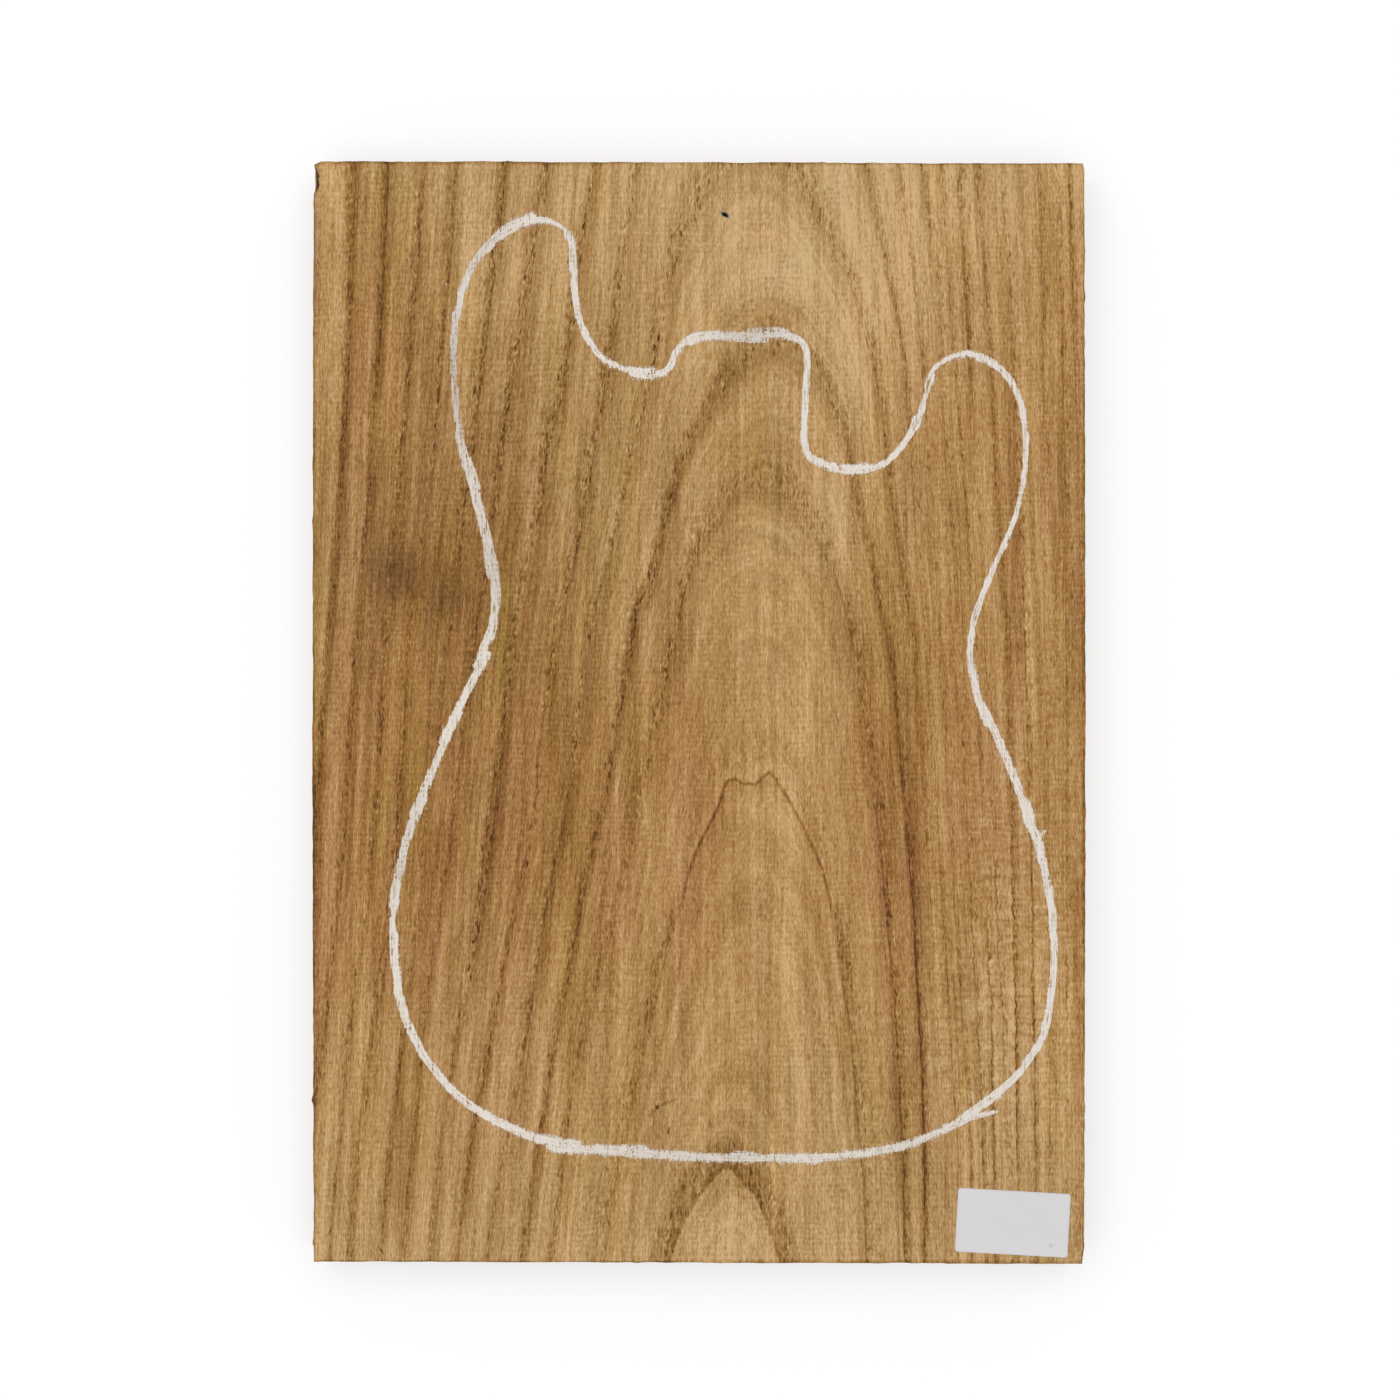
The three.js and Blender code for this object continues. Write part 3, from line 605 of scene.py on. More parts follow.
class ChalkSettings(bpy.types.PropertyGroup):
    """The drawn line."""

    width: FloatProperty(
        name="Stroke width", description="Usual width that one stroke of chalk leaves",
        default=4.5 * MM, min=MM, unit="LENGTH", subtype="DISTANCE",
    )
    thickness: FloatProperty(
        name="Thickness", description="Height of the thickest chalk above the face",
        default=0.26 * MM, min=0.05 * MM, unit="LENGTH", subtype="DISTANCE",
    )
    step: FloatProperty(
        name="Step", description="Distance between the sections of the line",
        default=0.85 * MM, min=0.4 * MM, unit="LENGTH", subtype="DISTANCE",
    )
    colour: FloatVectorProperty(
        name="Chalk", description="Colour of the thick chalk", subtype="COLOR", size=3,
        default=srgb(232, 224, 214),
    )
    thin_colour: FloatVectorProperty(
        name="Thin chalk", description="Colour where the wood tints the chalk", subtype="COLOR", size=3,
        default=srgb(205, 186, 164),
    )


class LabelSettings(bpy.types.PropertyGroup):
    """The bare paper label and its glue."""

    paper: FloatProperty(
        name="Paper", description="Thickness of the label's paper", default=0.1 * MM, min=0.02 * MM,
        unit="LENGTH", subtype="DISTANCE",
    )
    lift: FloatProperty(
        name="Lift", description="How far the label's outer corners have come away",
        default=0.22 * MM, min=0.0, unit="LENGTH", subtype="DISTANCE",
    )
    colour: FloatVectorProperty(
        name="Paper colour", description="Colour of the label's face", subtype="COLOR", size=3,
        default=srgb(217, 215, 216),
    )
    glue_colour: FloatVectorProperty(
        name="Glue colour", description="Colour of the film of glue", subtype="COLOR", size=3,
        default=srgb(206, 196, 172),
    )


class StageSettings(bpy.types.PropertyGroup):
    """Camera, floor and light."""

    lens: FloatProperty(
        name="Lens", description="Focal length of the camera in millimetres", default=85.0, min=10.0,
    )
    height: FloatProperty(
        name="Camera height", description="Height of the camera above the floor", default=1.6367,
        unit="LENGTH", subtype="DISTANCE",
    )
    sky: FloatProperty(
        name="Sky light", description="Strength of the even light from all round", default=0.5, min=0.0,
    )
    lamp: FloatProperty(
        name="Lamp", description="Power of the soft lamp overhead", default=24.0, min=0.0, unit="POWER",
    )
    floor_colour: FloatVectorProperty(
        name="Floor", description="Colour of the floor", subtype="COLOR", size=3, default=(0.5, 0.5, 0.5),
    )


class BlankSettings(bpy.types.PropertyGroup):
    """All that can be set for the blank."""

    board: PointerProperty(type=BoardSettings)
    chalk: PointerProperty(type=ChalkSettings)
    label: PointerProperty(type=LabelSettings)
    stage: PointerProperty(type=StageSettings)


# Node trees


class Nodes:
    """Adds nodes to a tree. Wherever a node has an input, a number, a vector or a socket will do."""

    def __init__(self, tree):
        self.tree = tree
        self.count = 0

    def add(self, kind, inputs=None, **choices):
        node = self.tree.nodes.new(kind)
        node.location = (180 * (self.count // 5), -220 * (self.count % 5))
        self.count += 1
        for name, choice in choices.items():
            setattr(node, name, choice)
        self.feed(node.inputs, inputs or {})
        return node

    def feed(self, sockets, values):
        """Sets or links the sockets of those names or numbers."""
        for name, value in values.items():
            if isinstance(value, bpy.types.NodeSocket):
                self.tree.links.new(value, sockets[name])
            else:
                sockets[name].default_value = value

    def math(self, operation, *values):
        return self.add("ShaderNodeMath", dict(enumerate(values)), operation=operation).outputs["Value"]

    def plus(self, first, *others):
        for value in others:
            first = self.math("ADD", first, value)
        return first

    def times(self, first, *others):
        for value in others:
            first = self.math("MULTIPLY", first, value)
        return first

    def over(self, value, divisor):
        return self.math("DIVIDE", value, divisor)

    def linear(self, value, slope, base):
        """The value times a slope, plus a base."""
        return self.math("MULTIPLY_ADD", value, slope, base)

    def weighed(self, start, *pairs):
        """The start plus each value times its weight."""
        return self.plus(start, *(self.times(value, weight) for value, weight in pairs))

    def limited(self, value, low, high):
        return self.math("MINIMUM", self.math("MAXIMUM", value, low), high)

    def about(self, noise, gain):
        """A noise moved down so that it lies about 0, times a gain."""
        return self.times(self.math("SUBTRACT", noise, 0.5), gain)

    def vector(self, x=0.0, y=0.0, z=0.0):
        return self.add("ShaderNodeCombineXYZ", {"X": x, "Y": y, "Z": z}).outputs["Vector"]

    def parts(self, vector):
        """The X, Y and Z of a vector."""
        return self.add("ShaderNodeSeparateXYZ", {"Vector": vector}).outputs

    def channels(self, colour):
        """The red, green and blue of a colour."""
        return self.add("ShaderNodeSeparateColor", {"Color": colour}).outputs

    def vectors(self, operation, first, second):
        return self.add("ShaderNodeVectorMath", {0: first, 1: second}, operation=operation).outputs["Vector"]

    def scaled(self, vector, amount):
        inputs = {0: vector, "Scale": amount}
        return self.add("ShaderNodeVectorMath", inputs, operation="SCALE").outputs["Vector"]

    def stretched(self, vector, across, along, down=None):
        """The vector in grains: one unit is across metres in x, along metres in y and down metres in z."""
        return self.vectors("MULTIPLY", vector, (1 / across, 1 / along, 1 / (down or across)))

    def noise(self, vector, size=None, detail=2.0, roughness=0.5, distortion=0.0):
        """A noise from 0 to 1 about 0.5, with grains of a size in millimetres, or else of one unit."""
        if size:
            vector = self.stretched(vector, *(side * MM for side in size))
        inputs = {"Vector": vector, "Scale": 1.0, "Detail": detail, "Roughness": roughness}
        inputs["Distortion"] = distortion
        return self.add("ShaderNodeTexNoise", inputs).outputs["Fac"]

    def between(self, value, low, high, start=0.0, end=1.0):
        """Goes smoothly from start where the value is low to end where it is high."""
        inputs = {"Value": value, "From Min": low, "From Max": high, "To Min": start, "To Max": end}
        return self.add("ShaderNodeMapRange", inputs, interpolation_type="SMOOTHSTEP").outputs["Result"]

    def band(self, value, rise, fall):
        """Rises from 0 to 1 over the stretch rise and falls back over the stretch fall, in millimetres."""
        rising = self.between(value, rise[0] * MM, rise[1] * MM)
        return self.times(rising, self.between(value, fall[0] * MM, fall[1] * MM, 1.0, 0.0))

    def ramp(self, value, stops):
        """A colour from stops of (place, colour of three)."""
        node = self.add("ShaderNodeValToRGB", {"Fac": value})
        elements = node.color_ramp.elements
        while len(elements) < len(stops):
            elements.new(0.5)
        for element, (place, colour) in zip(elements, stops):
            element.position = place
            element.color = (*colour, 1)
        return node.outputs["Color"]

    def mixed(self, share, first, second, blend="MIX"):
        """Goes from the first colour to the second, each a socket or a colour of three."""
        inputs = {0: share}
        for number, colour in ((6, first), (7, second)):
            inputs[number] = colour if isinstance(colour, bpy.types.NodeSocket) else (*colour, 1)
        return self.add("ShaderNodeMix", inputs, data_type="RGBA", blend_type=blend).outputs[2]

    def attribute(self, name):
        return self.add("ShaderNodeAttribute", attribute_name=name).outputs["Fac"]

    def place(self):
        return self.add("ShaderNodeTexCoord").outputs["Object"]

    def group(self, build, vector, **inputs):
        """The outputs of a shared node group."""
        return self.add("ShaderNodeGroup", {"Vector": vector, **inputs}, node_tree=build()).outputs

    def mottle(self, vector, size):
        """Cloudy unevenness of a size in millimetres, from about -1 to 1."""
        return self.group(fine_mottle, vector, Size=size * MM)["Mottle"]

    def bumped(self, height, distance, strength):
        inputs = {"Height": height, "Distance": distance, "Strength": strength}
        return self.add("ShaderNodeBump", inputs).outputs["Normal"]


def node_group(**inputs):
    """Makes a function into one that hands out a node group with an input Vector and the named inputs.

    The function gets the Nodes and the inputs of the group, and returns its outputs by name. It runs the
    first time that the group is asked for.
    """

    def mark(build):

        def get():
            made = bpy.data.node_groups.get(build.__name__)
            if made is not None:
                return made
            tree = bpy.data.node_groups.new(build.__name__, "ShaderNodeTree")
            tree.interface.new_socket("Vector", in_out="INPUT", socket_type="NodeSocketVector")
            for name, default in inputs.items():
                socket = tree.interface.new_socket(name, in_out="INPUT", socket_type="NodeSocketFloat")
                socket.default_value = default
            nodes = Nodes(tree)
            outputs = build(nodes, nodes.add("NodeGroupInput").outputs)
            for name in outputs:
                tree.interface.new_socket(name, in_out="OUTPUT", socket_type="NodeSocketFloat")
            nodes.add("NodeGroupOutput", outputs)
            return tree

        return get

    return mark


@node_group(Ring=0.0, Spacing=0.02, Raggedness=1 * MM)
def growth_rings(nodes, given):
    """From a ring number that rises outwards: the shade across a ring, its early wood and its sharp line.

    Spacing is the distance from one ring to the next, and Raggedness how far a line strays, both in metres.
    """
    place, spacing = given["Vector"], given["Spacing"]
    stray = nodes.plus(
        nodes.about(nodes.noise(place, (1.0, 5), 1.0), 2.0),
        nodes.about(nodes.noise(place, (3.2, 16), 2.0), 3.0),
        nodes.about(nodes.noise(place, (11, 34), 1.0), 3.0),
    )
    stray = nodes.times(stray, nodes.over(given["Raggedness"], spacing))
    phase = nodes.math("FRACT", nodes.plus(given["Ring"], stray))
    after = nodes.times(phase, spacing)
    before = nodes.times(nodes.math("SUBTRACT", 1.0, phase), spacing)
    # a line's soft sides are as wide as its ring allows
    breadth = nodes.limited(nodes.over(spacing, RING_WIDTH * MM), 0.55, 4.5)
    course = nodes.channels(nodes.ramp(
        nodes.over(after, nodes.times(breadth, RING_WIDTH * MM)),
        [(share, (shade, early, 0.0)) for share, shade, early in RING_COURSE],
    ))
    inside = nodes.between(nodes.over(before, breadth), 0.0, 5.5 * MM, -0.85, 0.0)
    line_after = nodes.between(after, 0.35 * MM, 0.95 * MM, 1.0, 0.0)
    line_before = nodes.between(before, 0.0, 0.5 * MM, 1.0, 0.0)
    return {
        "Shade": nodes.plus(course["Red"], -0.95, inside),
        "Early Wood": course["Green"],
        "Line": nodes.math("MAXIMUM", line_after, line_before),
    }


@node_group(Width=0.9 * MM, Length=6 * MM, Lean=0.0, Share=0.5)
def pore_streaks(nodes, given):
    """Short wavy dashes along the grain, of a given width and length in metres. Share is how many show."""
    parts = nodes.parts(given["Vector"])
    snake = nodes.about(nodes.noise(given["Vector"], (2.4, 5), 0.0), 2.6 * MM)
    leaning = nodes.plus(nodes.linear(parts["Y"], nodes.times(given["Lean"], -1.0), parts["X"]), snake)
    cell = nodes.add("ShaderNodeTexVoronoi", {"Scale": 1.0, "Randomness": 1.0, "Vector": nodes.vector(
        nodes.over(leaning, given["Width"]),
        nodes.over(parts["Y"], given["Length"]),
        nodes.over(parts["Z"], given["Width"]),
    )}).outputs
    chance = nodes.channels(cell["Color"])
    shown = nodes.limited(nodes.times(nodes.math("SUBTRACT", given["Share"], chance["Red"]), 5.0), 0.0, 1.0)
    body = nodes.between(cell["Distance"], 0.62, 0.3)
    return {"Pores": nodes.times(shown, body, nodes.linear(chance["Green"], 0.6, 0.4))}


@node_group()
def fibre_streaks(nodes, given):
    """Lighter and darker streaks along the grain, from broad bands to short hairs, from about -1 to 1."""
    return {
        name: nodes.about(nodes.noise(given["Vector"], size, detail, 0.6), 3.6)
        for name, size, detail in FIBRES
    }


@node_group(Pitch=2.6 * MM)
def saw_ripple(nodes, given):
    """Fine ridges across the grain that a planer's knives leave, from -1 to 1, stronger in places."""
    place = given["Vector"]
    turns = nodes.weighed(
        nodes.over(nodes.parts(place)["Y"], given["Pitch"]),
        (nodes.noise(place, (16, 30), 1.0), 1.8),
        (nodes.noise(place, (2.0, 2.2), 1.0), 0.9),
    )
    patches = nodes.between(nodes.noise(place, (9, 22)), 0.34, 0.66)
    return {"Ripple": nodes.times(nodes.math("SINE", nodes.times(turns, math.tau)), patches)}


@node_group()
def curl_figure(nodes, given):
    """Short pale and dark bars across the grain, as in curly wood, from about -1 to 1."""
    bars = nodes.noise(given["Vector"], (11, 3.4), 1.5, distortion=0.4)
    flecks = nodes.noise(given["Vector"], (4.5, 1.5), 1.0)
    return {"Curl": nodes.weighed(nodes.about(bars, 3.0), (nodes.between(flecks, 0.6, 0.8), 0.9))}


@node_group(Size=5 * MM)
def fine_mottle(nodes, given):
    """Cloudy unevenness of a given size in metres, from about -1 to 1."""
    place = nodes.scaled(given["Vector"], nodes.over(1.0, given["Size"]))
    return {"Mottle": nodes.about(nodes.noise(place, detail=4.0, roughness=0.6), 2.6)}


def new_material(name):
    """A material with an empty shader, and its Nodes and Principled shader."""
    material = bpy.data.materials.new(name)
    material.use_nodes = True
    material.node_tree.nodes.clear()
    nodes = Nodes(material.node_tree)
    shader = nodes.add("ShaderNodeBsdfPrincipled")
    nodes.add("ShaderNodeOutputMaterial", {"Surface": shader.outputs["BSDF"]})
    return material, nodes, shader


def worn_marks(nodes, place, marks):
    """Adds up soft marks on the face, each as strong in its middle as the table of marks says."""
    shares = []
    for (x, y), (half_width, half_length), turn, strength in marks:
        inputs = {"Vector": nodes.vectors("SUBTRACT", place, (x * MM, y * MM, FACE * MM)), "Angle": -turn}
        apart = nodes.add("ShaderNodeVectorRotate", inputs, rotation_type="Z_AXIS").outputs["Vector"]
        within = nodes.stretched(apart, half_width * MM, half_length * MM, MARK_DEPTH * MM)
        far = nodes.add("ShaderNodeVectorMath", {0: within}, operation="LENGTH").outputs["Value"]
        shares.append(nodes.times(nodes.between(far, 1.1, 0.4), strength))
    return nodes.plus(*shares)


def wood_material(board):
    """Sawn ring-porous wood. Its tone is worked out in steps of a screen's brightness, then coloured."""
    material, nodes, shader = new_material("sawn_wood")
    flat_place = nodes.place()
    depth, lean, curly, crisp, cloud, spacing = (
        nodes.attribute(name) for name in ("ring_depth", "lean", "curl", "crisp", "cloud", "spacing")
    )
    sway = nodes.about(nodes.noise(flat_place, (22, 4.2), 1.0), nodes.linear(curly, 2.6 * MM, 0.3 * MM))
    shift = nodes.vector(nodes.plus(sway, nodes.attribute("grain_shift")))
    place = nodes.vectors("ADD", flat_place, shift)
    rings = nodes.group(
        growth_rings, place, Ring=nodes.plus(nodes.attribute("ring"), nodes.over(sway, spacing)),
        Spacing=spacing, Raggedness=nodes.attribute("raggedness"),
    )

    # the two crests, which are drawn by tables of their own
    fray = nodes.about(nodes.noise(place, (0.9, 3), 1.0), 1.1 * MM)
    crest = nodes.plus(nodes.attribute("crest"), fray)
    tail = nodes.plus(nodes.attribute("tail_crest"), nodes.times(fray, 1.5))
    tail_share = nodes.attribute("tail_share")
    tail_band = nodes.times(tail_share, nodes.band(tail, (-0.4, 0.5), (7, 13)))
    tail_line = nodes.times(tail_share, nodes.band(tail, (-0.5, 0.3), (0.9, 2.8)))
    crest_line = nodes.between(nodes.math("ABSOLUTE", crest), 0.35 * MM, 1.15 * MM, -33.0, 0.0)
    crest_slope = nodes.times(nodes.band(crest, (-6.5, -0.4), (-0.2, 0.5)), -16.0)
    crest_tone = nodes.times(nodes.attribute("crest_share"), nodes.plus(crest_line, crest_slope))

    # pores, most of them in the early wood, and glints beside them, which are painted highlights
    early = nodes.times(rings["Early Wood"], nodes.between(depth, 0.2, 2.2, 0.35, 1.0))
    early = nodes.math("MAXIMUM", early, tail_band)
    share = nodes.linear(early, 0.75, 0.12)
    leaning = nodes.group(
        pore_streaks, place, Width=0.95 * MM, Length=4.2 * MM, Lean=0.1, Share=nodes.times(share, lean),
    )["Pores"]
    upright = nodes.group(
        pore_streaks, place, Width=0.95 * MM, Length=4.8 * MM,
        Share=nodes.times(share, nodes.math("SUBTRACT", 1.0, lean)),
    )["Pores"]
    vessels = nodes.weighed(nodes.times(leaning, 1.25), (upright, 0.85))
    glints = nodes.group(
        pore_streaks, nodes.vectors("ADD", place, (0.37, 0.11, 0.0)), Width=0.75 * MM, Length=2.6 * MM,
        Lean=0.08, Share=nodes.times(early, nodes.linear(lean, 0.45, 0.3)),
    )["Pores"]

    # streaks, bands and clouds
    fibres = nodes.group(fibre_streaks, place)
    bands, streaks, threads, hairs = (fibres[name] for name, _, _ in FIBRES)
    layers = nodes.vector(
        nodes.times(nodes.attribute("ring"), 11.0), nodes.times(nodes.parts(place)["Y"], 7.0),
    )
    layers = nodes.about(nodes.noise(layers, roughness=0.6), 3.6)
    ripple = nodes.group(saw_ripple, place)["Ripple"]
    curl = nodes.times(nodes.group(curl_figure, place)["Curl"], curly)
    patches = nodes.mottle(nodes.stretched(place, 1.0, 2.2), 26)
    facing = nodes.parts(nodes.add("ShaderNodeNewGeometry").outputs["True Normal"])
    end_grain = nodes.between(nodes.math("ABSOLUTE", facing["Y"]), 0.5, 0.85)
    side = nodes.between(nodes.math("ABSOLUTE", facing["X"]), 0.5, 0.85)
    line = nodes.times(rings["Line"], nodes.between(nodes.noise(place, (3, 14)), 0.28, 0.46))
    sharp = nodes.linear(depth, nodes.linear(crisp, 9.0, 2.5), nodes.times(crisp, 11.0))

    tone = nodes.weighed(
        nodes.plus(USUAL_TONE, cloud, crest_tone),
        (nodes.times(rings["Shade"], depth), 10.0),
        (nodes.times(line, sharp), -1.0),
        (tail_band, -20.0),
        (tail_line, -22.0),
        (vessels, nodes.linear(early, -32.0, -20.0)),
        (glints, 38.0),
        (bands, 11.0),
        (layers, 16.5),
        (streaks, 12.0),
        (threads, 18.0),
        (hairs, 34.0),
        # the planer's ridges, whose light and shade is painted into the tone
        (ripple, 6.0),
        (patches, 11.0),
        (curl, 24.0),
        (worn_marks(nodes, flat_place, WORN_MARKS), -1.0),
        (end_grain, -22.0),
        (side, -7.0),
        (nodes.attribute("rim"), -38.0),
    )
    shades = (DEEP_PORES, board.darkest, board.dark, board.middle, board.light, board.lightest)
    stops = [(step / 255, shade) for step, shade in zip(TONE_STEPS, shades)]
    colour = nodes.ramp(nodes.over(tone, 255.0), stops)
    warmth = nodes.weighed(
        nodes.plus(nodes.attribute("warmth"), 0.42),
        (early, -0.4), (layers, 0.55), (bands, 0.5), (patches, 0.8),
    )
    colour = nodes.mixed(warmth, colour, WARM_CAST, "MULTIPLY")
    golden = nodes.times(nodes.between(cloud, 14.0, -22.0, 0.4, 1.7), nodes.plus(*(
        nodes.about(nodes.noise(place, size, 1.0), strength) for size, strength in GOLDEN_STREAKS
    )))
    tint = nodes.vector(*(nodes.linear(golden, amount, 1.0) for amount in GOLDEN_CAST))
    colour = nodes.vectors("MULTIPLY", colour, tint)
    colour = nodes.mixed(worn_marks(nodes, flat_place, STAINS), colour, STAIN)
    # grey round the small hole, then painted shade inside it and in the torn hollow
    for name, low, high, shade in (
        ("hollow", 0.05, 0.5, PIT_RIM), ("hollow", 0.45, 0.95, PIT_INSIDE_SHADE), ("torn", 0.15, 0.8, TORN_HOLLOW_SHADE),
    ):
        colour = nodes.mixed(nodes.between(nodes.attribute(name), low, high), colour, shade)
    height = nodes.weighed(
        nodes.times(vessels, -1.0),
        (hairs, 0.45), (threads, 0.25), (ripple, 0.25), (rings["Early Wood"], -0.3), (curl, 0.3),
    )
    nodes.feed(shader.inputs, {
        "Base Color": colour,
        "Roughness": nodes.weighed(0.76, (vessels, 0.12), (hairs, 0.03), (end_grain, 0.08)),
        "Specular IOR Level": 0.25,
        "Normal": nodes.bumped(height, 0.1 * MM, 0.9),
    })
    return material


def chalk_material(chalk):
    """Dry chalk on open grain, which misses the pores and ripples where it lies thin and has ragged rims."""
    material, nodes, shader = new_material("dry_chalk")
    place = nodes.place()
    level = nodes.attribute("level")
    pores = nodes.group(
        pore_streaks, place, Width=1.05 * MM, Length=5.2 * MM, Lean=0.03, Share=0.6,
    )["Pores"]
    fibres = nodes.group(fibre_streaks, place)
    ripple = nodes.group(saw_ripple, place)["Ripple"]
    tooth = nodes.noise(place, (0.6, 0.9), roughness=0.6)
    stroke = nodes.vector(*(
        nodes.times(nodes.attribute(name), 1 / size) for name, size in zip(("run", "beside"), CHALK_STREAK)
    ))
    grip = nodes.weighed(
        nodes.plus(
            nodes.times(nodes.attribute("cover"), nodes.linear(level, 0.12, 1.0)),
            nodes.about(tooth, nodes.linear(level, 1.6, 0.9)),
            nodes.about(nodes.noise(stroke, detail=1.0), nodes.linear(level, -0.3, 1.5)),
        ),
        (pores, -0.32),
        (fibres["Hairs"], nodes.linear(level, 0.3, 0.25)),
        (fibres["Threads"], nodes.linear(level, -0.25, 0.5)),
        (ripple, nodes.linear(level, -0.12, 0.12)),
    )
    mottle = nodes.mottle(place, 3)
    body = nodes.weighed(nodes.between(grip, 0.45, 1.1), (mottle, 0.15))
    whole = nodes.linear(nodes.attribute("thin"), -0.6, 1.0)
    nodes.feed(shader.inputs, {
        "Base Color": nodes.mixed(body, chalk.thin_colour, chalk.colour),
        "Alpha": nodes.times(nodes.between(grip, 0.22, 0.6), whole),
        "Roughness": nodes.weighed(0.93, (mottle, 0.03)),
        "Specular IOR Level": 0.15,
        "Normal": nodes.bumped(nodes.weighed(tooth, (pores, -0.6)), 0.12 * MM, 0.9),
    })
    return material


def paper_material(label):
    """Smooth label paper with faint fibres, a slight cast of grey and a few specks of dust."""
    material, nodes, shader = new_material("label_paper")
    place = nodes.place()
    clouds = nodes.mottle(place, 16)
    fibres = nodes.mottle(nodes.stretched(place, 2.2, 0.8), 0.5)
    specks = nodes.between(nodes.noise(place, (1.1, 1.1), 0.0), 0.83, 0.9)
    level = nodes.weighed(
        0.985, (clouds, 0.012), (fibres, 0.012), (specks, -0.3), (nodes.attribute("rim"), -0.08),
        (nodes.attribute("spot"), -0.35),
    )
    nodes.feed(shader.inputs, {
        "Base Color": nodes.scaled(tuple(label.colour), level),
        "Roughness": nodes.weighed(0.5, (fibres, 0.05)),
        "Specular IOR Level": 0.35,
        "Normal": nodes.bumped(nodes.weighed(fibres, (clouds, 2.0)), 0.02 * MM, 0.6),
    })
    return material


def glue_material(label):
    """A thin film of clear glue that has picked up wood dust, with small bubbles."""
    material, nodes, shader = new_material("label_glue")
    place = nodes.place()
    dust = nodes.mottle(place, 2)
    nodes.feed(shader.inputs, {
        "Base Color": nodes.mixed(nodes.between(dust, -0.6, 0.9), label.glue_colour, WOOD_DUST),
        "Roughness": nodes.weighed(0.38, (dust, 0.1)),
        "Normal": nodes.bumped(nodes.mottle(place, 0.6), 0.03 * MM, 0.5),
    })
    return material


# The tree that the board was sawn from


def along_board(y, values):
    """A smooth curve through one value for each of HEART_PLACES."""
    places = [row[0] / 100 for row in HEART_PLACES]
    return np.polyval(np.polyfit(places, values, 3), y / 100)


def heart_side(x, y):
    """How far x lies to the right of the heart."""
    return x - along_board(y, [row[1] for row in HEART_PLACES])


def plain_ring(x, y, down):
    """The ring number in a trunk that tapers evenly. The rings lie closer together on the right."""
    side = heart_side(x, y)
    far = np.abs(side) / TRUNK_REACH
    left, right = (start + slope * far for start, slope in (LEFT_SQUEEZE, RIGHT_SQUEEZE))
    squeeze = np.where(side > 0, right, left)
    below = along_board(y, [row[2] for row in HEART_PLACES]) - DEPTH_SHARE * down
    numbers = FIRST_RING + np.arange(len(RING_REACHES))
    return np.interp(np.hypot(side * squeeze, below), RING_REACHES, numbers)


def refilled(places):
    """The places with more between them, so that no two are further apart than LINE_STEP."""
    full = [places[0]]
    for start, end in zip(places[:-1], places[1:]):
        parts = math.ceil(math.dist(start, end) / LINE_STEP)
        full += [tuple(np.add(start, np.subtract(end, start) * i / parts)) for i in range(1, parts + 1)]
    return full


class Rings:
    """The ring number anywhere in the board: an even trunk, bent so that its rings meet the ring lines."""

    def __init__(self):
        marks = [(ring, place) for ring, _, places in LEFT_LINES + RIGHT_LINES for place in refilled(places)]
        self.marks = np.array([place for _, place in marks], float)
        wanted = np.array([ring for ring, _ in marks], float)
        missing = wanted - plain_ring(self.marks[:, 0], self.marks[:, 1], 0)
        count = len(marks)
        system = np.zeros((count + 3, count + 3))
        system[:count, :count] = self.distances(self.marks) - np.eye(count)
        system[:count, count:] = system[count:, :count].T
        plane = np.column_stack([np.ones(count), self.marks / 100])
        system[:count, count:] = plane
        system[count:, :count] = plane.T
        self.weights = np.linalg.solve(system, np.append(missing, [0, 0, 0]))

    def distances(self, places):
        """From each place to each mark. Lines change slowly along the board, so that way counts half."""
        apart = (places[:, None, :] - self.marks[None, :, :]) * (1, 0.5)
        return np.sqrt((apart ** 2).sum(2))

    def at(self, x, y, z):
        bend = np.empty(len(x))
        for start in range(0, len(x), 4000):
            part = slice(start, start + 4000)
            places = np.column_stack([x[part], y[part]])
            bend[part] = self.distances(places) @ self.weights[:-3]
            bend[part] += np.column_stack([np.ones(len(places)), places / 100]) @ self.weights[-3:]
        return plain_ring(x, y, FACE - z) + bend


def line_darkness(x, y, ring):
    """How dark the nearest ring line is, from the values in the tables of lines."""
    last = len(DARKNESS_PLACES) - 1
    column = np.interp(-y, [-place for place in DARKNESS_PLACES], np.arange(last + 1))
    first = np.minimum(column.astype(int), last - 1)
    index = np.arange(len(x))
    sides = []
    for lines in (LEFT_LINES, RIGHT_LINES):
        numbers, amounts, _ = zip(*lines)
        table = np.array([np.interp(ring, numbers, column_amounts) for column_amounts in zip(*amounts)])
        sides.append(table[first, index] * (1 - column + first) + table[first + 1, index] * (column - first))
    share = smooth(-HEART_BLEND, HEART_BLEND, heart_side(x, y))
    return sides[0] * (1 - share) + sides[1] * share


def sum_of_zones(x, y, ring):
    """Adds up ZONES, each soft at its sides and ends."""
    total = np.zeros(len(x))
    right = smooth(-6, 6, heart_side(x, y))
    for side, middle, top, bottom, half, amount in ZONES:
        across = np.exp(-(((ring - middle) / half) ** 4)) * (right if side > 0 else 1 - right)
        total += amount * across * smooth(top + 14, top - 10, y) * smooth(bottom - 14, bottom + 10, y)
    return total


def crest_reach(crest, x, y, most):
    """How far each point lies outside a crest, at most so many millimetres."""
    ends = np.array(crest)
    nearest = np.full(len(x), float(most))
    for start, end in zip(ends[:-1], ends[1:]):
        way = end - start
        share = np.clip(((x - start[0]) * way[0] + (y - start[1]) * way[1]) / (way @ way), 0, 1)
        nearest = np.minimum(nearest, np.hypot(x - start[0] - share * way[0], y - start[1] - share * way[1]))
    within = (x > ends[0, 0]) & (x < ends[-1, 0]) & (y < np.interp(x, *ends.T))
    return np.where(within, -nearest, nearest)


